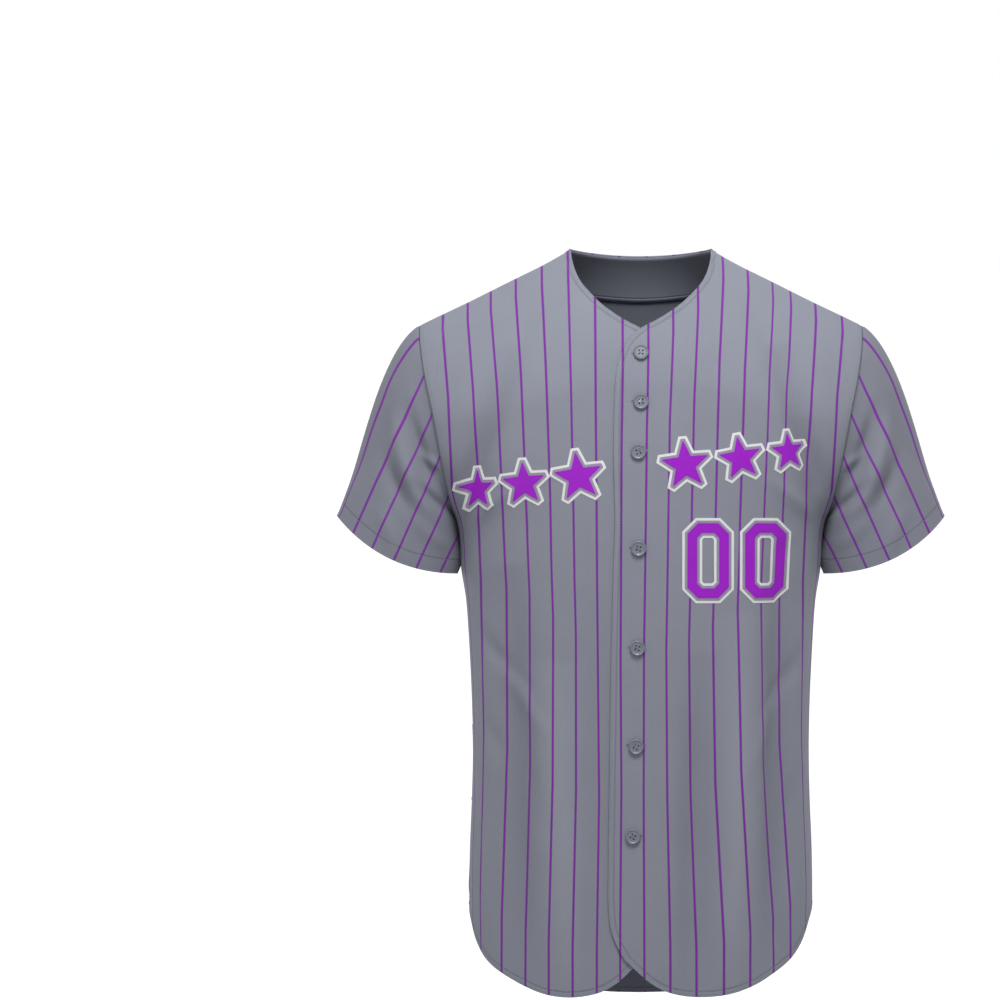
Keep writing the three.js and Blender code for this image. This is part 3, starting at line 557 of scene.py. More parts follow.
def along_curve(dense, shares):
    """Points of a dense curve at shares of its length."""
    length = length_along(dense)
    return read_line(np.asarray(shares) * length[-1], length, dense)


def pattern_curve(corners, shares):
    """Turn and height along an outline given as (x, z), at shares of its length."""
    corners = np.array(corners, float)
    flat = np.stack([turn_at(corners[:, 0], corners[:, 1]) * TURN_SCALE, corners[:, 1]], axis=-1)
    found = along_curve(smooth_curve(flat), shares)
    return found / np.array([TURN_SCALE, 1.0])


def fine_places(count, cells, close):
    """Places from 0 to count, evenly spaced, with an extra one close to each end."""
    even = np.linspace(0.0, count, count * cells + 1)
    return np.sort(np.concatenate([even, [close, count - close]]))


def side_edge(rows):
    """The side seam and armhole from the hem to the tip of the shoulder, as turn and height."""
    z_side = mix(SIDE_HEM_Z, ARMPIT_Z, np.clip(rows / ROWS_SIDE, 0.0, 1.0))
    z_arm = mix(ARMPIT_Z, ARMHOLE[-1]["z"], np.clip((rows - ROWS_SIDE) / ROWS_ARMHOLE, 0.0, 1.0))
    turn = turn_at(read_table(ARMHOLE, "z", "x", z_arm), z_arm)
    low = rows <= ROWS_SIDE
    return np.stack([np.where(low, math.pi / 2.0, turn), np.where(low, z_side, z_arm)], axis=-1)


def shoulder_edge(share):
    """The shoulder seam from the side of the neck to the tip, as turn and height."""
    x = mix(NECK_HALF, SHOULDER_TIP_X, np.clip(share, 0.0, 1.0))
    z = shoulder_height(x)
    return np.stack([turn_at(x, z), z], axis=-1)


def fill_panel(hem, top, inner, outer, across, up):
    """Fills a panel between its four edges, at shares across and up."""
    u = across[None, :, None]
    v = up[:, None, None]
    return (
        mix(hem[None], top[None], v)
        + mix(inner[:, None], outer[:, None], u)
        - mix(mix(hem[0], hem[-1], u), mix(top[0], top[-1], u), v)
    )


def hem_edge(corners, across):
    """A hem that ends at the foot of the side seam, as turn and height."""
    foot = (float(section(SIDE_HEM_Z)["half"]), SIDE_HEM_Z)
    hem = pattern_curve([*corners, foot], across)
    hem[-1] = (math.pi / 2.0, SIDE_HEM_Z)
    return hem


def front_pattern(columns, rows):
    """Pattern of the front on the wearer's left, before its centre line leans."""
    count = COLUMNS_NECK + COLUMNS_SHOULDER
    total = ROWS_SIDE + ROWS_ARMHOLE
    neck = pattern_curve(FRONT_NECK, np.clip(columns / COLUMNS_NECK, 0.0, 1.0))
    shoulder = shoulder_edge((columns - COLUMNS_NECK) / COLUMNS_SHOULDER)
    top = np.where((columns < COLUMNS_NECK)[:, None], neck, shoulder)
    inner = pattern_curve(FRONT_EDGE, rows / total)
    hem = hem_edge(FRONT_HEM, columns / count)
    return fill_panel(hem, top, inner, side_edge(rows), columns / count, rows / total)


def back_pattern(columns, rows):
    """Pattern of half of the back, from its middle to the wearer's left."""
    count = COLUMNS_BACK_NECK + COLUMNS_SHOULDER
    total = ROWS_SIDE + ROWS_ARMHOLE
    neck_share = np.clip(columns / COLUMNS_BACK_NECK, 0.0, 1.0)
    x = NECK_HALF * np.sin(neck_share * math.pi / 2.0) ** 0.9
    z = -BACK_NECK_DIP * (1.0 - (x / NECK_HALF) ** 2)
    neck = np.stack([turn_at(x, z), z], axis=-1)
    shoulder = shoulder_edge((columns - COLUMNS_BACK_NECK) / COLUMNS_SHOULDER)
    top = np.where((columns < COLUMNS_BACK_NECK)[:, None], neck, shoulder)
    inner = np.stack([np.zeros(len(rows)), mix(BACK_HEM_Z, -BACK_NECK_DIP, rows / total)], axis=-1)
    hem = hem_edge(BACK_HEM, columns / count)
    return fill_panel(hem, top, inner, side_edge(rows), columns / count, rows / total)


def cloth_numbers(panel):
    """What the cloth's material reads at each point of a panel or sleeve."""
    # The folds' lift is also painted into the cloth's colour: painted shade in troughs, painted light on
    # ridges
    return {"edge_gap": panel.edge, "seam_gap": panel.seam, "painted_fold_shade": panel.lift}


class Panel:
    """A cloth panel: turn and height of its points, which of them are seams and which are edges."""

    def __init__(self, face, lap_side, turn, z):
        self.face = face
        self.lap_side = lap_side
        self.turn = turn
        self.z = z

    def place(self, seams, edges):
        """Works out the points, lowered at the seams, and the distances to seams and edges."""
        drawn, self.normal = body_surface(self.face, self.lap_side, self.turn, self.z, 0.0)
        flat = body_point(self.face, self.turn, self.z)
        self.plain = mix(flat, drawn, STRIPE_SETTLE)
        # The folds' lift, which the cloth's material paints as shade in troughs and as light on ridges
        self.lift = body_lift(self.face, self.lap_side, flat[..., 0], flat[..., 2])
        self.seam = distance_to(drawn, [drawn[mask] for mask in seams])
        self.edge = distance_to(drawn, [drawn[mask] for mask in edges])
        self.points = drawn + self.normal * (CLOTH_OUT * smooth(self.seam, 0.0, SEAM_WIDTH))[..., None]

    def line_beside(self, line, row_step, column_step, distance):
        """Points and directions at a distance from a line of grid places, measured over the
        cloth from place to place in one direction of the grid."""
        steps = np.arange(BESIDE_PLACES)
        points = []
        normals = []
        for row, column in line:
            walk = (row + row_step * steps, column + column_step * steps)
            path = self.points[walk]
            length = length_along(path)
            points.append(read_line(distance, length, path))
            normals.append(read_line(distance, length, self.normal[walk]))
        return np.array(points), unit(np.array(normals))

    def line_in(self, line, distance, out=CLOTH_OUT):
        """Points and directions of a line of grid places moved sideways over the cloth by a
        distance, to the left of the way along it as seen from outside."""
        rows = np.array([place[0] for place in line])
        columns = np.array([place[1] for place in line])
        turn = self.turn[rows, columns]
        z = self.z[rows, columns]
        return inset_line(self.face, self.lap_side, turn, z, distance, out)


def inset_line(face, lap_side, turn, z, distance, out):
    """A line on the body at a distance from a line of turns and heights. It lies to the left of
    the way along the line as seen from outside."""
    base = body_point(face, turn, z)
    normal = body_normal(face, turn, z)
    along = unit(np.gradient(base, axis=0))
    moved = base + np.cross(normal, along) * distance
    x = moved[..., 0]
    z = moved[..., 2]
    at_turn = np.where(z > ARMPIT_Z, turn_at(x, z), turn_of(face, moved))
    return body_surface(face, lap_side, at_turn, z, out)


def distance_to(points, lines):
    """Distance from each point to the nearest of the lines' points."""
    flat = points.reshape(-1, 3)
    nearest = np.full(len(flat), 1e6)
    for line in lines:
        for start in range(0, len(line), 40):
            part = line[start:start + 40]
            apart = np.linalg.norm(flat[:, None] - part[None], axis=-1).min(axis=1)
            nearest = np.minimum(nearest, apart)
    return nearest.reshape(points.shape[:-1])


def stripe_places(points, stripes_at, half_at):
    """Place across the stripes for each point of a body panel: whole numbers lie on stripes. Past
    the last one seen from the front it follows the cloth round the side."""
    places = np.empty(points.shape[:2])
    for index, row in enumerate(points):
        x = row[:, 0]
        height = float(row[:, 2].mean())
        length = length_along(row)
        order = np.argsort(x)
        limit = STRIPE_REACH * half_at(row[:, 2])
        lines = stripes_at(height)
        numbers = np.arange(len(lines), dtype=float)
        within = np.clip(x, -limit, limit)
        base = np.interp(within, lines, numbers)
        edge_length = np.interp(within, x[order], length[order])
        turn = math.copysign(1.0, x[-1] - x[0])
        places[index] = base + (length - edge_length) * turn / CLOTH_PITCH
    return places


def front_stripes(height):
    """x of the fronts' stripes at a height, with a few more past each end of the table."""
    heights = np.array(list(STRIPE_HEIGHTS.values()))[::-1]
    lines = []
    for row in FRONT_STRIPES:
        places = np.array([row[name] for name in STRIPE_HEIGHTS])[::-1]
        lines.append(np.interp(height, heights, places))
    beyond = CLOTH_PITCH * np.arange(1, MORE_STRIPES + 1)
    return np.concatenate([lines[0] - beyond[::-1], lines, lines[-1] + beyond])


def back_stripes(height):
    """x of the back's stripes, which are straight."""
    return BACK_STRIPE_START + BACK_STRIPE_PITCH * np.arange(-9, 10)


def body_half(z):
    """Half width of the body."""
    return section(z)["half"]


def length_up(points):
    """Length of cloth up each column from its foot."""
    steps = np.linalg.norm(np.diff(points, axis=0), axis=-1)
    return np.vstack([np.zeros(points.shape[1]), np.cumsum(steps, axis=0)])


def grid_normals(points):
    """Outward directions of a grid's points."""
    return unit(np.cross(np.gradient(points, axis=1), np.gradient(points, axis=0)))


def edge_mask(shape, rows=None, columns=None):
    """True on the named rows and columns of a grid."""
    mask = np.zeros(shape, bool)
    mask[slice(None) if rows is None else rows, slice(None) if columns is None else columns] = True
    return mask


def make_front(side):
    """The front on the wearer's left (side 1) or right (side -1). The left one laps over."""
    columns = fine_places(COLUMNS_NECK + COLUMNS_SHOULDER, COLUMN_CELLS, CLOSE_COLUMN)
    rows = fine_places(ROWS_SIDE + ROWS_ARMHOLE, ROW_CELLS, CLOSE_ROW)
    pattern = front_pattern(columns, rows)
    z = pattern[..., 1]
    x = body_point("front", side * pattern[..., 0], z)[..., 0]
    share = 1.0 - columns / columns[-1]
    lean = centre_line(z) * share * smooth(shoulder_height(x) - z, LEAN_START, LEAN_FULL)
    turn = turn_at(x + lean, z)
    turn[:, -1] = np.where(rows <= ROWS_SIDE, side * math.pi / 2.0, turn[:, -1])
    neck = columns <= COLUMNS_NECK
    last = len(columns) - 1
    shape = z.shape
    seams = [edge_mask(shape, columns=last), edge_mask(shape, rows=-1, columns=~neck)]
    edges = [edge_mask(shape, rows=0), edge_mask(shape, columns=0), edge_mask(shape, rows=-1, columns=neck)]
    panel = Panel("front", side, turn, z)
    panel.place(seams, edges)
    panel.rows = rows
    # The free edge as one line of grid places, from the side seam's foot round to the neck
    hem = [(0, column) for column in range(last, 0, -1)]
    opening = [(row, 0) for row in range(len(rows) - 1)]
    neck_edge = [(len(rows) - 1, column) for column in range(int(neck.sum()))]
    panel.free = hem + opening + neck_edge
    panel.opening = opening
    panel.shoulder = [(len(rows) - 1, column) for column in range(int(neck.sum()) - 1, last + 1)]
    panel.outer_column = last
    first = int(np.searchsorted(rows, ROWS_SIDE))
    panel.armhole = [(row, last) for row in range(len(rows) - 1, first, -1)]
    return panel


def make_back():
    """The back, from the wearer's left to the right."""
    columns = fine_places(COLUMNS_BACK_NECK + COLUMNS_SHOULDER, COLUMN_CELLS, CLOSE_COLUMN)
    columns = np.delete(columns, 1)
    rows = fine_places(ROWS_SIDE + ROWS_ARMHOLE, ROW_CELLS, CLOSE_ROW)
    half = back_pattern(columns, rows)
    turn = np.concatenate([half[:, ::-1, 0], -half[:, 1:, 0]], axis=1)
    z = np.concatenate([half[:, ::-1, 1], half[:, 1:, 1]], axis=1)
    places = np.concatenate([columns[::-1], columns[1:]])
    neck = places <= COLUMNS_BACK_NECK
    last = len(places) - 1
    shape = z.shape
    seams = [edge_mask(shape, columns=[0, last]), edge_mask(shape, rows=-1, columns=~neck)]
    edges = [edge_mask(shape, rows=0), edge_mask(shape, rows=-1, columns=neck)]
    panel = Panel("back", 0, turn, z)
    panel.place(seams, edges)
    panel.rows = rows
    panel.places = places
    panel.hem = [(0, column) for column in range(last + 1)]
    panel.neck = [(len(rows) - 1, column) for column in np.nonzero(neck)[0]]
    first = int(np.searchsorted(rows, ROWS_SIDE))
    panel.armhole_left = [(row, 0) for row in range(len(rows) - 1, first, -1)]
    panel.armhole_right = [(row, last) for row in range(len(rows) - 1, first, -1)]
    facing_row = int(np.searchsorted(rows, FACING_FOOT + 0.05))
    panel.facing = [(facing_row, column) for column in np.nonzero(places <= FACING_COLUMNS)[0]]
    return panel


def sleeve_axis():
    """Direction of the sleeve on the wearer's left, towards its cuff."""
    return unit(np.array([CUFF_OUTER[1] - CUFF_INNER[1], 0.0, CUFF_INNER[0] - CUFF_OUTER[0]]))


def cuff_points(angle):
    """The cuff's edge at angles from its inner corner over the front."""
    inner = np.array([CUFF_INNER[0], 0.0, CUFF_INNER[1]])
    chord = np.array([CUFF_OUTER[0], 0.0, CUFF_OUTER[1]]) - inner
    sine = np.sin(angle)[:, None]
    dip = np.where(sine > 0.0, CUFF_DIP_FRONT, CUFF_DIP_BACK)
    across = chord * (0.5 - 0.5 * np.cos(angle)[:, None])
    forward = np.array([0.0, -CUFF_HALF_DEPTH, 0.0]) * sine
    return inner + across + sleeve_axis() * dip * sine ** 2 + forward


def sleeve_lift(points, around, share):
    """Lift of the sleeve's folds at points of the sleeve on the wearer's left."""
    lift = np.zeros(points.shape[:2])
    x = points[..., 0]
    z = points[..., 2]
    front = smooth(np.sin(around), -0.15, 0.25)
    for crease in SLEEVE_CREASES:
        seen = front if crease["side"] == "front" else 1.0 - front
        lift = lift + SLEEVE_FOLD_DEPTH * crease_lift(crease, x, z) * seen
    beside = np.exp(-(((share - TUCK_AT) / TUCK_WIDE) ** 2)) * TUCK_DEEP
    at_seam = TUCK_SEAM * (1.0 - smooth(share, 0.0, TUCK_AT))
    met = smooth(share, 0.0, TUCK_START)
    tuck = ((beside + at_seam) * met)[:, None] * np.sin(around) ** 2
    return lift * smooth(share, 0.0, 0.12)[:, None] - tuck


def underarm_swell(around, share):
    """Swelling of the underarm towards the body's side, so that the two touch."""
    swell = UNDERARM_BULGE * smooth(share, 0.0, 0.3) * (1.0 - smooth(share, 0.65, 1.0))
    return swell[:, None] * np.clip(np.cos(around), 0.0, 1.0) ** 6


def half_sleeve_places(row):
    """Place across the stripes of a row of points from the underarm to the top of the sleeve."""
    lean = math.radians(SLEEVE_LEAN)
    across = row[:, 0] * math.cos(lean) + row[:, 2] * math.sin(lean)
    lines = np.array([SLEEVE_STRIPES[0] - SLEEVE_PITCH, *SLEEVE_STRIPES])
    numbers = np.arange(len(lines), dtype=float)
    length = length_along(row)
    start = int(np.argmin(across[:len(across) // 2 + 1]))
    rising = np.maximum.accumulate(across[start:]) + np.arange(len(across) - start) * 1e-6
    low = max(lines[0], rising[0] + SLEEVE_LOW)
    low_length = np.interp(low, rising, length[start:])
    high_length = np.interp(lines[-1], rising, length[start:])
    known = np.interp(across, lines, numbers)
    over = (length - high_length) / max(length[-1] - high_length, 1.0)
    rest = numbers[-1] + SLEEVE_LAST_GAP * over
    under = np.interp(low, lines, numbers) + (length - low_length) / CLOTH_PITCH
    return np.where(length < low_length, under, np.where(length > high_length, rest, known))


class Sleeve:
    """The sleeve on the wearer's left, as a grid from cuff to armhole round from the underarm."""

    def __init__(self, front, back):
        first = int(np.searchsorted(front.rows, ROWS_SIDE))
        outer = front.outer_column
        drawn_front = body_point("front", front.turn[first:, outer], front.z[first:, outer])
        drawn_back = body_point("back", back.turn[first:, 0], back.z[first:, 0])
        ring = np.concatenate([drawn_front, drawn_back[-2::-1]])
        up = front.rows[first:] - ROWS_SIDE
        places = np.concatenate([up, 2 * ROWS_ARMHOLE - up[-2::-1]])
        angle = places / (2 * ROWS_ARMHOLE) * 2.0 * math.pi
        share = fine_places(SLEEVE_ROWS, 1, 0.3) / SLEEVE_ROWS
        end = cuff_points(angle)
        reach = np.linalg.norm(end - ring, axis=1)[:, None]
        top = ((1.0 - np.cos(angle)) / 2.0)[:, None]
        sine = np.sin(angle)[:, None]
        ones = np.ones_like(sine)
        down = -mix(LEAVE_DOWN_UNDER, LEAVE_DOWN_OVER, top)
        leave = unit(np.concatenate([LEAVE_OUT * ones, LEAVE_FORWARD * sine, down], axis=1))
        pull = reach * mix(UNDERARM_FULLNESS, SLEEVE_FULLNESS, smooth(top, 0.0, 0.4))
        rows = [hermite(ring, leave * pull, end, sleeve_axis() * pull, s) for s in share[::-1]]
        drawn = np.array(rows)
        self.share = share[::-1]
        self.angle = angle
        around = np.broadcast_to(angle, drawn.shape[:2])
        normal = self.closed_normals(drawn)
        lift = sleeve_lift(drawn, around, self.share)
        swell = underarm_swell(around, self.share)
        folded = drawn + normal * (lift + swell)[..., None]
        # What the material paints as shade: the folds and the dip beside the armhole, with the swell under
        # the arm turned into more painted shade
        self.lift = lift - UNDERARM_SHADE * swell
        self.plain = mix(drawn, folded, STRIPE_SETTLE)
        drawn = folded
        self.normal = self.closed_normals(drawn)
        seams = [drawn[-1], drawn[:, 0]]
        self.seam = distance_to(drawn, seams)
        self.edge = distance_to(drawn, [drawn[0]])
        out = CLOTH_OUT * smooth(self.seam, 0.0, SEAM_WIDTH)
        self.points = drawn + self.normal * out[..., None]
        self.stripes = self.stripe_places()

    @staticmethod
    def closed_normals(points):
        """Outward directions that agree where the first and last column meet."""
        wrapped = np.concatenate([points[:, -2:-1], points, points[:, 1:2]], axis=1)
        normal = grid_normals(wrapped)[:, 1:-1]
        joined = unit(normal[:, 0] + normal[:, -1])
        normal[:, 0] = joined
        normal[:, -1] = joined
        return normal

    def stripe_places(self):
        """Place across the stripes: from the underarm over the front to the top, and the same
        from the underarm over the back."""
        middle = int(np.argmin(np.abs(self.angle - math.pi)))
        places = np.empty(self.plain.shape[:2])
        top = len(SLEEVE_STRIPES) + SLEEVE_LAST_GAP
        for index, row in enumerate(self.plain):
            places[index, :middle + 1] = half_sleeve_places(row[:middle + 1])
            places[index, middle:] = 2.0 * top - half_sleeve_places(row[:middle - 1:-1])[::-1]
        return places

    def cuff_line(self, distance):
        """Points and directions of the line round the sleeve at a distance from the cuff."""
        points = []
        normals = []
        for column, length in enumerate(length_up(self.points).T):
            points.append(read_line(distance, length, self.points[:, column]))
            normals.append(read_line(distance, length, self.normal[:, column]))
        return np.array(points), unit(np.array(normals))


def mirrored(grid):
    """The same grid for the sleeve on the wearer's right."""
    turned = grid[:, ::-1].copy()
    if turned.ndim == 3:
        turned[..., 0] *= -1.0
    return turned


def clear_selection():
    """Deselects all objects."""
    for other in bpy.context.selected_objects:
        other.select_set(False)


def select_only(obj):
    """Makes one object the selected and active one."""
    clear_selection()
    obj.select_set(True)
    bpy.context.view_layer.objects.active = obj


def edit_all(*steps):
    """Runs mesh operators one after the other on the whole mesh of the active object. Each step
    is an operator and its settings."""
    bpy.ops.object.mode_set(mode="EDIT")
    for operator, chosen in steps:
        bpy.ops.mesh.select_all(action="SELECT")
        operator(**chosen)
    bpy.ops.object.mode_set(mode="OBJECT")


def sheet_object(name, points, places=None, lifts=None):
    """A sheet on a primitive grid. points is rows by columns in millimetres, places the cloth
    coordinates of each point, and lifts named numbers for each point."""
    rows, columns = points.shape[:2]
    clear_selection()
    bpy.ops.mesh.primitive_grid_add(x_subdivisions=columns - 1, y_subdivisions=rows - 1, size=2.0)
    sheet = bpy.context.active_object
    sheet.name = name
    mesh = sheet.data
    mesh.name = name
    if len(mesh.vertices) != rows * columns:
        raise RuntimeError(f"{name}: the grid has {len(mesh.vertices)} points")
    mesh.vertices.foreach_set("co", (points.reshape(-1, 3) * MM).ravel())
    if places is not None:
        corner = np.empty(len(mesh.loops), int)
        mesh.loops.foreach_get("vertex_index", corner)
        mesh.uv_layers[0].name = "cloth"
        mesh.uv_layers["cloth"].data.foreach_set("uv", places.reshape(-1, 2)[corner].ravel())
    for label, values in (lifts or {}).items():
        layer = mesh.attributes.new(label, "FLOAT", "POINT")
        layer.data.foreach_set("value", values.ravel())
    mesh.update()
    select_only(sheet)
    bpy.ops.object.shade_smooth()
    return sheet


def thicken(sheet, thickness, inner_slot=0):
    """Gives a sheet its thickness, inwards."""
    select_only(sheet)
    solid = sheet.modifiers.new("thickness", "SOLIDIFY")
    solid.thickness = thickness * MM
    solid.offset = -1.0
    solid.material_offset = inner_slot
    bpy.ops.object.modifier_apply(modifier=solid.name)
    return sheet


def rolled_edge(name, points, normals, places, lifts, radius):
    """A rounded turned edge along a line of points on the cloth's outer face."""
    along = unit(np.gradient(points, axis=0))
    side = unit(np.cross(along, normals))
    centre = points - normals * (CLOTH_THICK / 2.0)
    rings = np.linspace(0.0, 2.0 * math.pi, 9)
    rows = [centre + radius * (math.cos(a) * normals + math.sin(a) * side) for a in rings]
    grid = np.array(rows)
    tiled = np.broadcast_to(places, (len(rings), *places.shape)).copy()
    shape = grid.shape[:2]
    numbers = {label: np.broadcast_to(values, shape).copy() for label, values in lifts.items()}
    roll = sheet_object(name, grid, tiled, numbers)
    edit_all(
        (bpy.ops.mesh.remove_doubles, {"threshold": 0.00001}),
        (bpy.ops.mesh.fill_holes, {"sides": 12}),
        (bpy.ops.mesh.normals_make_consistent, {"inside": False}),
    )
    return roll


def join(pieces):
    """Joins pieces into the first one."""
    clear_selection()
    for piece in pieces:
        piece.select_set(True)
    bpy.context.view_layer.objects.active = pieces[0]
    bpy.ops.object.join()
    return pieces[0]


def finish_piece(piece, material=None):
    """Gives a piece its material, if one is given, and its body."""
    if material is not None:
        piece.data.materials.clear()
        piece.data.materials.append(material)
    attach(piece, "root")
    return piece


def cloth_panel(name, points, normals, places, numbers, free_lines, materials):
    """A cloth panel with its turned edges, joined into one object. The second material is the
    inner side's."""
    sheet = sheet_object(name, points, places, numbers)
    for material in materials:
        sheet.data.materials.append(material)
    thicken(sheet, CLOTH_THICK, 1)
    rolls = []
    for index, line in enumerate(free_lines):
        rows = np.array([place[0] for place in line])
        columns = np.array([place[1] for place in line])
        roll = rolled_edge(
            f"{name}_edge_{index}",
            points[rows, columns],
            normals[rows, columns],
            places[rows, columns],
            {label: values[rows, columns] for label, values in numbers.items()},
            EDGE_ROLL,
        )
        roll.data.materials.append(materials[0])
        rolls.append(roll)
    return join([sheet, *rolls])


def stitch_run(points, normals, pitch):
    """Middles, directions and upward directions of stitches along a line."""
    length = length_along(points)
    count = max(1, round(float(length[-1]) / pitch))
    at = (np.arange(count) + 0.5) * length[-1] / count
    ahead = read_line(at + STITCH_TURN_STEP, length, points)
    behind = read_line(at - STITCH_TURN_STEP, length, points)
    return read_line(at, length, points), unit(ahead - behind), unit(read_line(at, length, normals))


def stitch_object(name, runs, length, radius, pitch, crosswise=False):
    """Stitches along lines: one stitch is modelled, and its mesh is repeated along each line."""
    clear_selection()
    bpy.ops.mesh.primitive_uv_sphere_add(segments=6, ring_count=4, radius=1.0)
    pattern = bpy.context.active_object
    unit_points = np.array([tuple(vertex.co) for vertex in pattern.data.vertices])
    faces = [tuple(face.vertices) for face in pattern.data.polygons]
    bpy.ops.object.delete()
    all_points = []
    for points, normals in runs:
        middle, along, up = stitch_run(points, normals, pitch)
        side = np.cross(up, along)
        if crosswise:
            along, side = side, along
        grown = (
            middle[:, None]
            + along[:, None] * unit_points[None, :, 2:3] * length / 2.0
            + side[:, None] * unit_points[None, :, 0:1] * radius
            + up[:, None] * unit_points[None, :, 1:2] * radius
        )
        all_points.append(grown.reshape(-1, 3))
    vertices = np.concatenate(all_points) * MM
    count = len(vertices) // len(unit_points)
    mesh = bpy.data.meshes.new(name)
    shifted = [tuple(v + n * len(unit_points) for v in face) for n in range(count) for face in faces]
    mesh.from_pydata(vertices.tolist(), [], shifted)
    stitches = bpy.data.objects.new(name, mesh)
    bpy.context.scene.collection.objects.link(stitches)
    select_only(stitches)
    edit_all((bpy.ops.mesh.normals_make_consistent, {"inside": False}))
    bpy.ops.object.shade_smooth()
    return stitches


class Wire:
    """A number in a shader that can be used in formulas."""

    def __init__(self, shader, socket):
        self.shader = shader
        self.socket = socket

    def join(self, operation, *others):
        """One maths node with this number as its first input."""
        node = self.shader.tree.nodes.new("ShaderNodeMath")
        node.operation = operation
        for place, value in enumerate((self, *others)):
            self.shader.feed(node.inputs[place], value)
        return Wire(self.shader, node.outputs[0])

    def within_one(self):
        """This number kept from 0 to 1."""
        return self.join("MAXIMUM", 0.0).join("MINIMUM", 1.0)

    def swapped(self, operation, first):
        """One maths node with this number as its second input."""
        node = self.shader.tree.nodes.new("ShaderNodeMath")
        node.operation = operation
        self.shader.feed(node.inputs[0], first)
        self.shader.feed(node.inputs[1], self)
        return Wire(self.shader, node.outputs[0])

    def __add__(self, other):
        return self.join("ADD", other)

    def __radd__(self, other):
        return self.swapped("ADD", other)

    def __sub__(self, other):
        return self.join("SUBTRACT", other)

    def __rsub__(self, other):
        return self.swapped("SUBTRACT", other)

    def __mul__(self, other):
        return self.join("MULTIPLY", other)

    def __rmul__(self, other):
        return self.swapped("MULTIPLY", other)

    def __truediv__(self, other):
        return self.join("DIVIDE", other)

    def __rtruediv__(self, other):
        return self.swapped("DIVIDE", other)


class Shader:
    """Builds a material's nodes."""

    def __init__(self, name):
        self.material = bpy.data.materials.new(name)
        self.material.use_nodes = True
        self.tree = self.material.node_tree
        self.surface = next(n for n in self.tree.nodes if n.type == "BSDF_PRINCIPLED")

    def feed(self, socket, value):
        """Links a wire or sets a constant."""
        if isinstance(value, Wire):
            self.tree.links.new(value.socket, socket)
        else:
            socket.default_value = value

    def add(self, kind, settings=None, output=0, **sockets):
        """Adds a node with its settings and inputs, and returns one of its outputs."""
        node = self.tree.nodes.new(kind)
        for name, value in (settings or {}).items():
            setattr(node, name, value)
        for name, value in sockets.items():
            self.feed(node.inputs[name.replace("_", " ")], value)
        return Wire(self, node.outputs[output])

    def set(self, **sockets):
        """Feeds the surface's inputs."""
        for name, value in sockets.items():
            self.feed(self.surface.inputs[name.replace("_", " ")], value)

    def parts(self, vector):
        """The three numbers of a vector."""
        split = self.tree.nodes.new("ShaderNodeSeparateXYZ")
        self.tree.links.new(vector.socket, split.inputs[0])
        return [Wire(self, output) for output in split.outputs]

    def object_place(self):
        """Object coordinates, in metres."""
        return self.add("ShaderNodeTexCoord", output=3)

    def cloth_place(self):
        """Cloth coordinates across and up, in millimetres."""
        place = self.add("ShaderNodeUVMap", {"uv_map": "cloth"})
        across, up, _ = self.parts(place)
        return across, up, place

    def number(self, label):
        """A named number of the mesh."""
        return self.add("ShaderNodeAttribute", {"attribute_name": label}, output=2)

    def noise(self, vector, scale, detail=2.0):
        """Soft noise from 0 to 1."""
        return self.add("ShaderNodeTexNoise", Vector=vector, Scale=scale, Detail=detail)

    def colours(self, share, low, high):
        """Colour between two colours."""
        node = self.tree.nodes.new("ShaderNodeMix")
        node.data_type = "RGBA"
        self.feed(node.inputs[0], share)
        self.feed(node.inputs[6], low)
        self.feed(node.inputs[7], high)
        return Wire(self, node.outputs[2])

    def bump(self, height, distance):
        """Bump in metres of height."""
        normal = self.add("ShaderNodeBump", Distance=distance, Height=height)
        self.set(Normal=normal)


def stripe_mask(across, half_width, soft):
    """1 on a stripe and 0 off it."""
    from_line = (across / CLOTH_PITCH + 0.5).join("FRACT") - 0.5
    gap = from_line.join("ABSOLUTE") * CLOTH_PITCH
    return 1.0 - ((gap - half_width + soft) / (2.0 * soft)).within_one()


def mesh_weave(across, up, pitch):
    """Height of a pin-dot mesh knit: small dents in staggered rows."""
    turn = 2.0 * math.pi / pitch
    return (across * turn).join("COSINE") * (up * turn).join("COSINE")


def groove(gap, at, width):
    """1 on a line at a distance from an edge, fading to both sides."""
    return 1.0 - ((gap - at).join("ABSOLUTE") / width).join("MINIMUM", 1.0)


def rgb(colour, factor=1.0):
    """Colour with full alpha, made lighter or darker by a factor."""
    return (*(min(1.0, part * factor) for part in tuple(colour)[:3]), 1.0)


# Knit: pitch of the mesh's dots, softness of a stripe's edge, and the widths of the grooves at a
# stitch line and at a seam, in millimetres. Both grooves are darkened with painted shade in the
# dark colour below. The bump is in metres
WEAVE_PITCH = 2.1
STRIPE_SOFT = 0.4
STITCH_GROOVE = 1.3
SEAM_SHADE_WIDTH = 1.2
KNIT_BUMP = 0.0004
GROOVE_SHADE_COLOUR = (0.02, 0.02, 0.03, 1.0)
TWILL_RIB = 0.0012
TWILL_BUMP = 0.00008


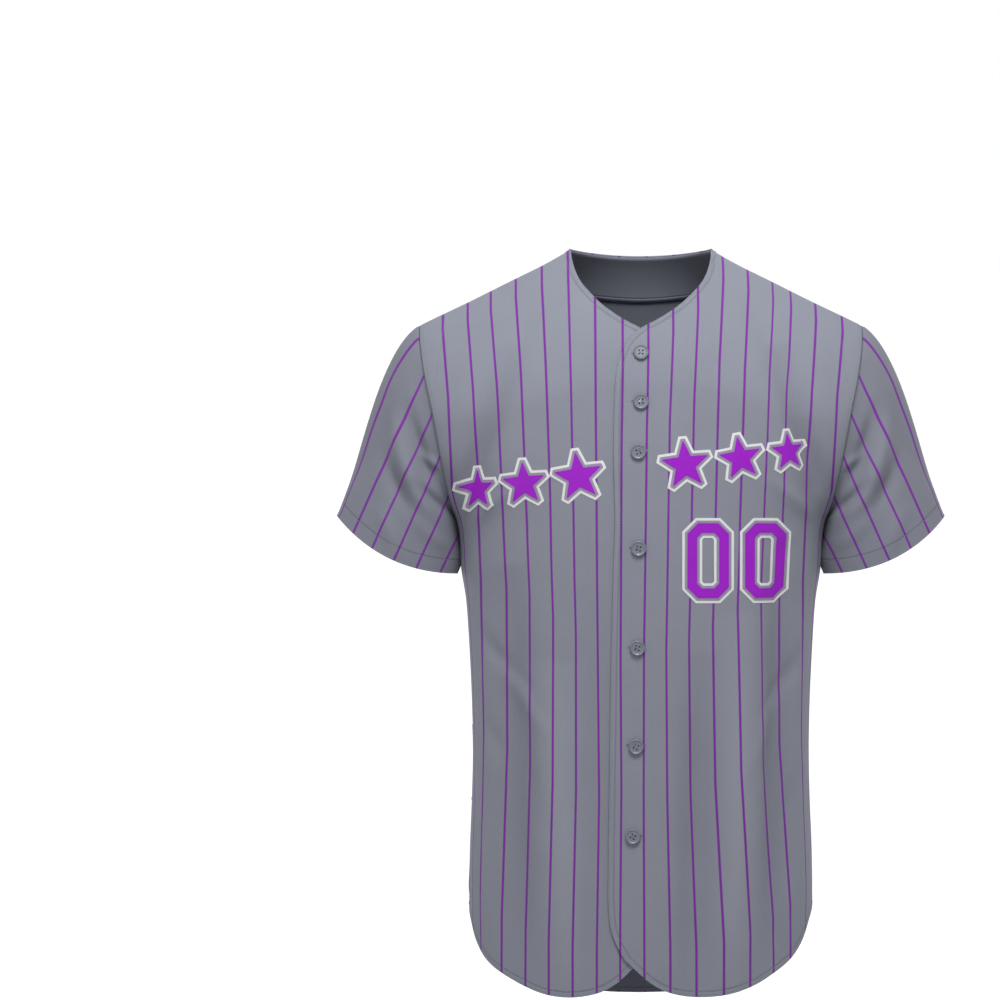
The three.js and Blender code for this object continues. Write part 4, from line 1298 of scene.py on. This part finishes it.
def knit_material(name, colour, stripe=None, stripe_width=0.0, stitch_at=HEM_STITCH):
    """Mesh knit cloth, with printed stripes if a stripe colour is given."""
    shader = Shader(name)
    across, up, place = shader.cloth_place()
    weave = mesh_weave(across, up, WEAVE_PITCH)
    patches = shader.noise(place, 0.02, 3.0)
    grain = shader.noise(place, 1.4, 1.0)
    # The folds' lift darkens the colour in troughs and lightens it on ridges: painted shade and painted
    # light
    fold = shader.number("painted_fold_shade")
    shade = 0.57 + (patches - 0.5) * 0.36 + (grain - 0.5) * 0.25 + weave * 0.23 + fold * FOLD_SHADE
    ground = shader.colours(shade, rgb(colour, 0.84), rgb(colour, 1.12))
    if stripe is not None:
        mask = stripe_mask(across, stripe_width / 2.0, STRIPE_SOFT)
        ground = shader.colours(mask, ground, rgb(stripe))
    edge = shader.number("edge_gap")
    seam = shader.number("seam_gap")
    line = groove(edge, stitch_at, STITCH_GROOVE)
    shadow = groove(seam, 0.0, SEAM_SHADE_WIDTH)
    # Painted shade: darker along the stitch line's groove and along the seams
    darker = 1.0 - line * 0.22 - shadow * 0.5
    shader.set(Base_Color=shader.colours(darker, GROOVE_SHADE_COLOUR, ground))
    shader.set(Roughness=0.8 - weave * 0.05)
    shader.bump(weave * 0.12 + grain * 0.1 - line * 0.8, KNIT_BUMP)
    shader.set(Specular_IOR_Level=0.25, Sheen_Weight=0.08, Sheen_Roughness=0.6)
    return shader.material


def twill_material(name, colour):
    """Sewn-on twill with its fine diagonal ribs."""
    shader = Shader(name)
    place = shader.object_place()
    x, _, z = shader.parts(place)
    ribs = ((x + z) * (2.0 * math.pi / TWILL_RIB)).join("SINE")
    patches = shader.noise(place, 60.0, 2.0)
    shade = 0.5 + ribs * 0.2 + (patches - 0.5) * 0.5
    shader.set(Base_Color=shader.colours(shade, rgb(colour, 0.86), rgb(colour, 1.12)))
    shader.set(Roughness=0.62 + ribs * 0.05)
    shader.bump(ribs, TWILL_BUMP)
    shader.set(Specular_IOR_Level=0.3)
    return shader.material


def plastic_material(name, colour):
    """Moulded plastic with faint clouds."""
    shader = Shader(name)
    place = shader.object_place()
    clouds = shader.noise(place, 260.0, 3.0)
    shader.set(Base_Color=shader.colours(clouds, rgb(colour, 0.85), rgb(colour, 1.15)))
    shader.set(Roughness=0.3 + clouds * 0.15)
    return shader.material


def thread_material(name, colour):
    """Sewing thread."""
    shader = Shader(name)
    place = shader.object_place()
    twist = shader.noise(place, 1500.0, 1.0)
    shader.set(Base_Color=shader.colours(twist, rgb(colour, 0.8), rgb(colour)))
    shader.set(Roughness=0.55 + twist * 0.2)
    return shader.material


def colour_setting(name, description, default):
    """A colour that the panel shows."""
    return bpy.props.FloatVectorProperty(
        name=name,
        description=description,
        subtype="COLOR",
        size=3,
        min=0.0,
        max=1.0,
        default=default,
    )


class JerseySettings(bpy.types.PropertyGroup):
    """Colours and sizes of the jersey."""

    cloth_colour: colour_setting("Cloth", "Ground colour of the mesh knit", (0.27, 0.285, 0.34))
    # The inner side is a darker copy of the cloth: painted shade of the jersey's inside
    inside_colour: colour_setting("Inside", "Inner side of the cloth", (0.18, 0.19, 0.235))
    facing_colour: colour_setting("Facing", "Facing inside the neck", (0.26, 0.275, 0.335))
    stripe_colour: colour_setting("Stripes", "Colour of the pinstripes", (0.2, 0.025, 0.33))
    twill_colour: colour_setting("Number", "Sewn-on number and stars", (0.4, 0.012, 0.66))
    border_colour: colour_setting("Inner border", "Border next to the number", (0.36, 0.34, 0.43))
    outline_colour: colour_setting("Outer border", "Outermost border", (0.92, 0.92, 0.93))
    button_colour: colour_setting("Buttons", "Colour of the buttons", (0.22, 0.235, 0.285))
    stripe_width: bpy.props.FloatProperty(
        name="Stripe width",
        description="Width of a pinstripe",
        default=0.0026,
        min=0.001,
        max=0.01,
        unit="LENGTH",
    )


# The sleeves' cloth runs the other way. Its colour is the body's darkened by SLEEVE_SHADE, as painted shade
SLEEVE_SHADE = 0.83


def settings():
    """The jersey's settings of the open scene."""
    return bpy.context.scene.jersey


def shared_material(name, make):
    """A material made the first time that it is asked for."""
    found = bpy.data.materials.get(name)
    return found if found is not None else make(name)


def outer_knit():
    """Striped cloth of the body."""
    look = settings()
    return shared_material(
        "body_knit",
        lambda name: knit_material(name, look.cloth_colour, look.stripe_colour, look.stripe_width / MM),
    )


def sleeve_knit():
    """Striped cloth of the sleeves, whose hem is deeper. Its colour is darkened as painted shade."""
    look = settings()
    return shared_material(
        "sleeve_knit",
        lambda name: knit_material(
            name,
            tuple(part * SLEEVE_SHADE for part in look.cloth_colour),
            look.stripe_colour,
            look.stripe_width / MM,
            CUFF_STITCH,
        ),
    )


def inner_knit():
    """Inner side of the cloth, darker than the outer side as painted shade."""
    look = settings()
    return shared_material("inner_knit", lambda name: knit_material(name, look.inside_colour))


def facing_knit():
    """Cloth of the facing inside the neck."""
    look = settings()
    return shared_material("facing_cloth", lambda name: knit_material(name, look.facing_colour))


def thread():
    """Thread of the seams and hems."""
    colour = tuple(part * 1.05 for part in settings().cloth_colour)
    return shared_material("thread", lambda name: thread_material(name, colour))


def shadow_thread():
    """Dark thread laid in a buttonhole's slit as painted shade."""
    colour = tuple(part * 0.25 for part in settings().cloth_colour)
    return shared_material("buttonhole_cut", lambda name: thread_material(name, colour))


def white_thread():
    """White thread of the second button."""
    return shared_material("white_thread", lambda name: thread_material(name, (0.9, 0.9, 0.92)))


PARTS = {}


def panels():
    """The worked-out panels, made once."""
    if not PARTS:
        PARTS["left"] = make_front(1)
        PARTS["right"] = make_front(-1)
        PARTS["back"] = make_back()
        PARTS["sleeve"] = Sleeve(PARTS["left"], PARTS["back"])
    return PARTS


def cloth_places(points, stripes):
    """Cloth coordinates of a grid: across the stripes and up them, in millimetres."""
    return np.stack([stripes * CLOTH_PITCH, length_up(points)], axis=-1)


def flipped(panel, grid):
    """Grid with its columns running the same way round the body on both sides."""
    return grid if panel.lap_side >= 0 else grid[:, ::-1]


class JERSEY_OT_fronts(bpy.types.Operator):
    """Makes the two fronts, the wearer's left one lapping over the right"""

    bl_idname = "jersey.fronts"
    bl_label = "Fronts"

    def execute(self, context):
        for name, key in (("front_left", "left"), ("front_right", "right")):
            panel = panels()[key]
            points = flipped(panel, panel.points)
            stripes = stripe_places(flipped(panel, panel.plain), front_stripes, body_half)
            places = cloth_places(points, stripes)
            last = points.shape[1] - 1
            free = panel.free
            if panel.lap_side < 0:
                free = [(row, last - column) for row, column in panel.free]
            piece = cloth_panel(
                f"{name}_cloth",
                points,
                flipped(panel, panel.normal),
                places,
                {label: flipped(panel, values) for label, values in cloth_numbers(panel).items()},
                [free],
                (outer_knit(), inner_knit()),
            )
            finish_piece(piece)
            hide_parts(name)
        return {"FINISHED"}


class JERSEY_OT_back(bpy.types.Operator):
    """Makes the back, one panel from neck to shirt-tail hem"""

    bl_idname = "jersey.back"
    bl_label = "Back"

    def execute(self, context):
        panel = panels()["back"]
        stripes = stripe_places(panel.plain, back_stripes, body_half)
        places = cloth_places(panel.points, stripes)
        piece = cloth_panel(
            "back_cloth",
            panel.points,
            panel.normal,
            places,
            cloth_numbers(panel),
            [panel.hem, panel.neck],
            (outer_knit(), inner_knit()),
        )
        finish_piece(piece)
        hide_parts("back")
        return {"FINISHED"}


class JERSEY_OT_sleeves(bpy.types.Operator):
    """Makes the two set-in short sleeves"""

    bl_idname = "jersey.sleeves"
    bl_label = "Sleeves"

    def execute(self, context):
        sleeve = panels()["sleeve"]
        places = cloth_places(sleeve.points, sleeve.stripes)
        cuff = [(0, column) for column in range(sleeve.points.shape[1])]
        for name, mirror in (("sleeve_left", False), ("sleeve_right", True)):
            turned = mirrored if mirror else (lambda grid: grid)
            cloth = places[:, ::-1].copy() if mirror else places
            piece = cloth_panel(
                f"{name}_cloth",
                turned(sleeve.points),
                turned(sleeve.normal),
                cloth,
                {label: turned(values) for label, values in cloth_numbers(sleeve).items()},
                [cuff],
                (sleeve_knit(), inner_knit()),
            )
            finish_piece(piece)
            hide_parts(name)
        return {"FINISHED"}


def grown(corners, distance):
    """Corners of a closed outline, drawn anticlockwise, moved out by a distance."""
    here = np.array(corners, float)
    edge = unit(np.roll(here, -1, axis=0) - here)
    out = np.stack([edge[:, 1], -edge[:, 0]], axis=-1)
    before = np.roll(out, 1, axis=0)
    share = 1.0 + np.sum(before * out, axis=1, keepdims=True)
    return here + distance * (before + out) / share


def along_outline(corners, counts):
    """Points round a closed outline, with a count of steps for each side."""
    corners = np.asarray(corners, float)
    points = []
    for corner, following, count in zip(corners, np.roll(corners, -1, axis=0), counts):
        share = np.arange(count)[:, None] / count
        points.append(corner + (following - corner) * share)
    points.append(corners[:1])
    return np.concatenate(points)


def zero_rows(sizes, border):
    """A block zero with its border, as rows from the hole out."""
    half = sizes["half"]
    tall = sizes["tall"]
    corner = sizes["corner"]
    outline = [
        (half, corner - tall), (half, tall - corner), (half - corner, tall), (corner - half, tall),
        (-half, tall - corner), (-half, corner - tall), (corner - half, -tall), (half - corner, -tall),
    ]
    outer = grown(outline, border)
    hole = grown(outline, -sizes["stroke"] - border)
    sides = np.linalg.norm(np.roll(outer, -1, axis=0) - outer, axis=1)
    counts = [max(1, round(side / NUMBER_STEP)) for side in sides]
    count = max(2, round((sizes["stroke"] + 2.0 * border) / NUMBER_STEP))
    inside = along_outline(hole, counts)
    outside = along_outline(outer, counts)
    return np.array([mix(inside, outside, share) for share in np.linspace(0.0, 1.0, count + 1)])


def star_rows(radius, border, tilt):
    """A five-pointed star with its border, as rows from the middle out."""
    corners = []
    for point in range(5):
        angle = math.radians(90.0 + tilt + 72.0 * point)
        tip = radius * np.array([math.cos(angle), math.sin(angle)])
        waists = []
        for turn in (-36.0, 36.0):
            beside = angle + math.radians(turn)
            waists.append(radius * STAR_WAIST * np.array([math.cos(beside), math.sin(beside)]))
        corners.append(waists[0])
        corners.append(mix(waists[0], tip, STAR_BLUNT))
        corners.append(mix(waists[1], tip, STAR_BLUNT))
    outer = along_outline(grown(corners, border), [STAR_SIDE_STEPS, 1, STAR_SIDE_STEPS] * 5)
    return np.array([outer * share for share in np.linspace(0.0, 1.0, STAR_RINGS + 1)])


def twill_piece(name, layer, face, lap_side, shapes):
    """Twill shapes of one colour laid on a panel. Each shape is its middle and its rows."""
    made = []
    for index, (middle, rows) in enumerate(shapes):
        x = rows[..., 0] + middle[0]
        z = rows[..., 1] + middle[1]
        points, normals = body_surface(face, lap_side, turn_at(x, z), z, TWILL_OUT[layer])
        if face == "front":
            points = points[::-1]
        piece = sheet_object(f"{name}_{layer}_{index}", points)
        edit_all((bpy.ops.mesh.remove_doubles, {"threshold": 0.000001}))
        thicken(piece, TWILL_THICK)
        made.append(piece)
    whole = join(made)
    whole.name = f"{name}_{layer}"
    whole.data.name = whole.name
    look = settings()
    colours = {"white": look.outline_colour, "grey": look.border_colour, "purple": look.twill_colour}
    material = shared_material(f"twill_{layer}", lambda title: twill_material(title, colours[layer]))
    finish_piece(whole, material)
    return whole


def flat_edges(piece):
    """Shades a thin flat piece smooth over its face and sharp at its rim."""
    select_only(piece)
    bpy.ops.object.shade_smooth_by_angle(angle=math.radians(RIM_ANGLE))


class JERSEY_OT_numbers(bpy.types.Operator):
    """Makes the sewn-on block zeros on the wearer's left chest and on the back"""

    bl_idname = "jersey.numbers"
    bl_label = "Numbers"

    def execute(self, context):
        places = (
            ("number_chest", "front", 1, CHEST_NUMBER, CHEST_NUMBER_AT),
            ("number_back", "back", 0, BACK_NUMBER, BACK_NUMBER_AT),
        )
        for name, face, lap_side, sizes, middles in places:
            borders = {"white": 2.0 * sizes["border"], "grey": sizes["border"], "purple": 0.0}
            for layer, border in borders.items():
                shapes = [(middle, zero_rows(sizes, border)) for middle in middles]
                flat_edges(twill_piece(name, layer, face, lap_side, shapes))
        return {"FINISHED"}


class JERSEY_OT_stars(bpy.types.Operator):
    """Makes the sewn-on stars across the chest and in an arch on the back"""

    bl_idname = "jersey.stars"
    bl_label = "Stars"

    def execute(self, context):
        borders = {"white": 2.0 * CHEST_BORDER, "grey": CHEST_BORDER, "purple": 0.0}
        for name, side in (("stars_left", 1), ("stars_right", -1)):
            for layer, border in borders.items():
                shapes = []
                for star in CHEST_STARS:
                    if star["side"] == side:
                        rows = star_rows(star["radius"], border, star["tilt"])
                        shapes.append(((star["x"], star["z"]), rows))
                flat_edges(twill_piece(name, layer, "front", side, shapes))
        count = BACK_STARS["count"]
        for layer, border in (("white", BACK_STARS["border"]), ("purple", 0.0)):
            shapes = []
            for index in range(count):
                angle = BACK_STARS["spread"] * (index / (count - 1) - 0.5)
                across = BACK_STARS["arc"] * math.sin(math.radians(angle))
                drop = BACK_STARS["arc"] * (1.0 - math.cos(math.radians(angle)))
                rows = star_rows(BACK_STARS["radius"], border, -angle)
                shapes.append(((across, BACK_STARS["top"] - drop), rows))
            flat_edges(twill_piece("stars_back", layer, "back", 0, shapes))
        return {"FINISHED"}


def yoke_line(side):
    """Points and directions of the short seam line from the shoulder towards the armhole."""
    z = np.linspace(YOKE_TOP[1], YOKE_FOOT[1], YOKE_POINTS)
    x = side * np.linspace(YOKE_TOP[0], YOKE_FOOT[0], YOKE_POINTS)
    return body_surface("front", side, turn_at(x, z), z, CLOTH_OUT)


class JERSEY_OT_stitching(bpy.types.Operator):
    """Makes the visible stitch lines of hems, openings, neck, shoulders and armholes"""

    bl_idname = "jersey.stitching"
    bl_label = "Stitching"

    def execute(self, context):
        parts = panels()
        for name, key in (("stitching_left", "left"), ("stitching_right", "right")):
            panel = parts[key]
            inward = -panel.lap_side
            runs = [
                panel.line_in(panel.free, inward * HEM_STITCH),
                panel.line_beside(panel.shoulder, -1, 0, SEAM_STITCH),
                panel.line_beside(panel.armhole, 0, -1, SEAM_STITCH),
                yoke_line(panel.lap_side),
            ]
            self.finish(name, runs)
        panel = parts["back"]
        runs = [
            panel.line_in(panel.hem, HEM_STITCH),
            panel.line_in(panel.neck, -HEM_STITCH),
            panel.line_in(panel.facing, 0.0),
            panel.line_beside(panel.armhole_left, 0, 1, SEAM_STITCH),
            panel.line_beside(panel.armhole_right, 0, -1, SEAM_STITCH),
        ]
        self.finish("stitching_back", runs)
        sleeve = parts["sleeve"]
        line, normals = sleeve.cuff_line(CUFF_STITCH)
        flip = np.array([-1.0, 1.0, 1.0])
        self.finish("stitching_cuff_left", [(line, normals)])
        self.finish("stitching_cuff_right", [(line * flip, normals * flip)])
        return {"FINISHED"}

    def finish(self, name, runs):
        piece = stitch_object(name, runs, STITCH_LENGTH, STITCH_RADIUS, STITCH_PITCH)
        finish_piece(piece, thread())


def button_place(height, out):
    """Middle of a button and the cloth's outward direction there."""
    x = centre_line(height) - BUTTON_OFFSET
    turn = np.array([turn_at(x, height)])
    points, normals = body_surface("front", 1, turn, np.array([height]), out)
    return points[0], normals[0]


def button_frame(normal):
    """Level direction and upward direction on a button's face."""
    level = unit(np.cross(np.array([0.0, 0.0, 1.0]), normal))
    return level, np.cross(normal, level)


class JERSEY_OT_buttonholes(bpy.types.Operator):
    """Makes the buttonholes behind the buttons, a dark strand of painted shade in each slit, and the thread
    through the buttons
    """

    bl_idname = "jersey.buttonholes"
    bl_label = "Buttonholes and button thread"

    def execute(self, context):
        rounds = []
        slits = []
        strands = []
        white_strands = []
        for index, height in enumerate(BUTTON_HEIGHTS):
            middle, normal = button_place(height, CLOTH_OUT + BUTTONHOLE_OUT)
            level, up = button_frame(normal)
            angle = np.linspace(0.0, 2.0 * math.pi, ROUND_POINTS)[:, None]
            cosine = np.sign(np.cos(angle)) * np.abs(np.cos(angle)) ** BUTTONHOLE_ROUND
            loop = middle + level * BUTTONHOLE_HALF * cosine + up * BUTTONHOLE_WIDTH * np.sin(angle)
            rounds.append((loop, np.broadcast_to(normal, loop.shape)))
            # A dark strand along the slit stands for the shade in the cut: painted shade
            slit = middle + level * np.linspace(-SLIT_HALF, SLIT_HALF, SLIT_POINTS)[:, None]
            slits.append((slit, np.broadcast_to(normal, slit.shape)))
            top, normal = button_place(height, BUTTON_FACE_OUT)
            for sideways in (-1.0, 1.0):
                way = unit(up + sideways * level)
                steps = np.linspace(-THREAD_REACH, THREAD_REACH, STRAND_POINTS)[:, None]
                strand = top + way * steps
                target = white_strands if index == 1 else strands
                target.append((strand, np.broadcast_to(normal, strand.shape)))
        long_slit = 2.0 * SLIT_HALF
        long_strand = 2.0 * THREAD_REACH
        made = (
            ("buttonholes", rounds, BUTTONHOLE_STITCH, BUTTONHOLE_THREAD, BUTTONHOLE_PITCH, True, thread),
            ("buttonhole_slit_shade", slits, long_slit, SLIT_RADIUS, long_slit, False, shadow_thread),
            ("button_thread", strands, long_strand, THREAD_RADIUS, long_strand, False, thread),
            (
                "button_thread_white", white_strands, long_strand, THREAD_RADIUS, long_strand, False,
                white_thread,
            ),
        )
        for name, runs, length, radius, pitch, crosswise, material in made:
            piece = stitch_object(name, runs, length, radius, pitch, crosswise)
            finish_piece(piece, material())
        return {"FINISHED"}


class JERSEY_OT_facing(bpy.types.Operator):
    """Makes the facing inside the back of the neck"""

    bl_idname = "jersey.facing"
    bl_label = "Neck facing"

    def execute(self, context):
        total = ROWS_SIDE + ROWS_ARMHOLE
        columns = np.linspace(0.0, FACING_COLUMNS, FACING_POINTS["across"])
        rows = np.linspace(FACING_FOOT, total, FACING_POINTS["up"])
        pattern = back_pattern_part(columns, rows)
        turn = np.concatenate([pattern[:, ::-1, 0], -pattern[:, 1:, 0]], axis=1)
        z = np.concatenate([pattern[:, ::-1, 1], pattern[:, 1:, 1]], axis=1)
        points, normals = body_surface("back", 0, turn, z, -FACING_IN + CLOTH_OUT)
        places = np.stack([-points[..., 0], length_up(points)], axis=-1)
        numbers = {"edge_gap": length_up(points), "seam_gap": np.full(z.shape, FAR_FROM_SEAM)}
        piece = sheet_object("neck_facing_cloth", points, places, numbers)
        thicken(piece, CLOTH_THICK, 0)
        finish_piece(piece, facing_knit())
        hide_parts("neck_facing")
        return {"FINISHED"}


def back_pattern_part(columns, rows):
    """Part of the back's pattern. The whole pattern's ends are kept, so that it fills the same."""
    count = COLUMNS_BACK_NECK + COLUMNS_SHOULDER
    total = ROWS_SIDE + ROWS_ARMHOLE
    all_columns = np.concatenate([columns, [count]])
    all_rows = np.concatenate([[0.0], rows])
    if all_rows[-1] < total:
        all_rows = np.concatenate([all_rows, [total]])
    whole = back_pattern(all_columns, all_rows)
    return whole[1:1 + len(rows), :len(columns)]


class JERSEY_OT_stage(bpy.types.Operator):
    """Sets the camera, the soft studio light and the pale floor"""

    bl_idname = "jersey.stage"
    bl_label = "Camera, light and floor"

    def execute(self, context):
        make_stage()
        return {"FINISHED"}


# Camera: its distance from the plane y = PLANE_Y, where one pixel is PIXEL metres
CAMERA_AWAY = 8.0
PLANE_Y = -0.05
MIDDLE_Z = -0.262
PIXEL = 0.00104
FRAME_PIXELS = 1000
SENSOR = 36.0
CAMERA_ACROSS = -0.1472
CLIP_END = 60.0
LAMP_AIM = (0.0, 0.0, -0.35)
LAMPS = (
    {"name": "lamp_key", "at": (0.12, -1.2, 1.25), "size": 0.7, "power": 28.0},
    {"name": "lamp_fill", "at": (-1.4, -1.6, 1.2), "size": 1.0, "power": 6.0},
    {"name": "lamp_rim", "at": (0.4, 2.2, 2.2), "size": 2.0, "power": 8.0},
)
WORLD_COLOUR = (0.95, 0.96, 1.0, 1.0)
WORLD_STRENGTH = 0.2


def make_stage():
    """Camera, lamps and backdrop."""
    scene = bpy.context.scene
    clear_selection()
    stand = (CAMERA_ACROSS, PLANE_Y - CAMERA_AWAY, MIDDLE_Z)
    bpy.ops.object.camera_add(location=stand, rotation=(math.pi / 2.0, 0.0, 0.0))
    camera = bpy.context.active_object
    camera.name = "camera"
    camera.data.sensor_width = SENSOR
    camera.data.lens = SENSOR * CAMERA_AWAY / (PIXEL * FRAME_PIXELS)
    camera.data.clip_end = CLIP_END
    scene.camera = camera
    for row in LAMPS:
        bpy.ops.object.light_add(type="AREA", location=row["at"])
        lamp = bpy.context.active_object
        lamp.name = row["name"]
        lamp.data.size = row["size"]
        lamp.data.energy = row["power"]
        aim = Vector(LAMP_AIM) - Vector(row["at"])
        lamp.rotation_euler = aim.to_track_quat("-Z", "Y").to_euler()
    world = bpy.data.worlds.new("studio")
    world.use_nodes = True
    background = world.node_tree.nodes["Background"]
    background.inputs["Color"].default_value = WORLD_COLOUR
    background.inputs["Strength"].default_value = WORLD_STRENGTH
    scene.world = world
    make_backdrop()
    scene.view_settings.view_transform = "Standard"


# Backdrop: a floor that bends up into a round wall. The paper's colour and its glow change from
# the camera's side to behind the jersey, and from the floor up the wall
FLOOR_Z = -0.86
FLOOR_RINGS = (0.0, 0.8, 2.0, 5.0)
COVE_RADIUS = 11.0
COVE_BEND = 2.0
COVE_TOP = 8.0
GLOW_START = 0.8
PAPER_FRONT = (0.5, 0.5, 0.5, 1.0)
PAPER_BEHIND = (0.95, 0.95, 0.96, 1.0)
GLOW_FRONT = (0.09, 0.09, 0.09, 1.0)
GLOW_BEHIND = (0.62, 0.62, 0.62, 1.0)
WALL_FRONT = (0.34, 0.34, 0.345, 1.0)
WALL_BEHIND = (1.0, 1.0, 1.0, 1.0)
WALL_PAPER = (0.0, 0.0, 0.0, 1.0)
WALL_FADE = 1.2
GLOW = 1.0


def make_backdrop():
    """A pale floor that curves up into a round wall. It glows behind the jersey."""
    profile = [(radius, FLOOR_Z) for radius in FLOOR_RINGS]
    for angle in np.linspace(0.0, math.pi / 2.0, 9):
        radius = COVE_RADIUS - COVE_BEND * (1.0 - math.sin(angle))
        profile.append((radius, FLOOR_Z + COVE_BEND * (1.0 - math.cos(angle))))
    profile.append((COVE_RADIUS, COVE_TOP))
    around = np.linspace(0.0, 2.0 * math.pi, 65)
    rows = [[(r * math.cos(a), r * math.sin(a), z) for a in around] for r, z in profile]
    backdrop = sheet_object("backdrop", np.array(rows)[:, ::-1] / MM)
    shader = Shader("backdrop_paper")
    shader.set(Roughness=0.9, Specular_IOR_Level=0.0, Emission_Strength=GLOW)
    _, y, z = shader.parts(shader.object_place())
    behind = (y / GLOW_START).within_one()
    wall = ((z - FLOOR_Z) / WALL_FADE).within_one()
    paper = shader.colours(behind, PAPER_FRONT, PAPER_BEHIND)
    glow = shader.colours(behind, GLOW_FRONT, GLOW_BEHIND)
    wall_glow = shader.colours(behind, WALL_FRONT, WALL_BEHIND)
    shader.set(Base_Color=shader.colours(wall, paper, WALL_PAPER))
    shader.set(Emission_Color=shader.colours(wall, glow, wall_glow))
    backdrop.data.materials.append(shader.material)


class JERSEY_OT_buttons(bpy.types.Operator):
    """Gives the buttons their plastic look"""

    bl_idname = "jersey.buttons"
    bl_label = "Buttons"

    def execute(self, context):
        look = settings()
        plastic = plastic_material("button_plastic", look.button_colour)
        for index in range(len(BUTTON_HEIGHTS)):
            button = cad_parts[f"button_{index + 1}"]
            button.data.materials.clear()
            button.data.materials.append(plastic)
        return {"FINISHED"}


OPERATORS = (
    JERSEY_OT_fronts,
    JERSEY_OT_back,
    JERSEY_OT_sleeves,
    JERSEY_OT_facing,
    JERSEY_OT_buttons,
    JERSEY_OT_buttonholes,
    JERSEY_OT_numbers,
    JERSEY_OT_stars,
    JERSEY_OT_stitching,
    JERSEY_OT_stage,
)


class JERSEY_PT_panel(bpy.types.Panel):
    """Lists the jersey's pieces and settings"""

    bl_idname = "JERSEY_PT_panel"
    bl_label = "Baseball Jersey"
    bl_space_type = "VIEW_3D"
    bl_region_type = "UI"
    bl_category = "Jersey"

    def draw(self, context):
        look = context.scene.jersey
        for name in JerseySettings.__annotations__:
            self.layout.prop(look, name)
        for operator in OPERATORS:
            self.layout.operator(operator.bl_idname)


CLASSES = (JerseySettings, *OPERATORS, JERSEY_PT_panel)


def register():
    for cls in CLASSES:
        bpy.utils.register_class(cls)
    bpy.types.Scene.jersey = bpy.props.PointerProperty(type=JerseySettings)


def unregister():
    del bpy.types.Scene.jersey
    for cls in reversed(CLASSES):
        bpy.utils.unregister_class(cls)


def main():
    """Builds the whole jersey and its stage."""
    register()
    bpy.ops.jersey.fronts()
    bpy.ops.jersey.back()
    bpy.ops.jersey.sleeves()
    bpy.ops.jersey.facing()
    bpy.ops.jersey.buttons()
    bpy.ops.jersey.buttonholes()
    bpy.ops.jersey.numbers()
    bpy.ops.jersey.stars()
    bpy.ops.jersey.stitching()
    bpy.ops.jersey.stage()


if __name__ == "__main__":
    main()
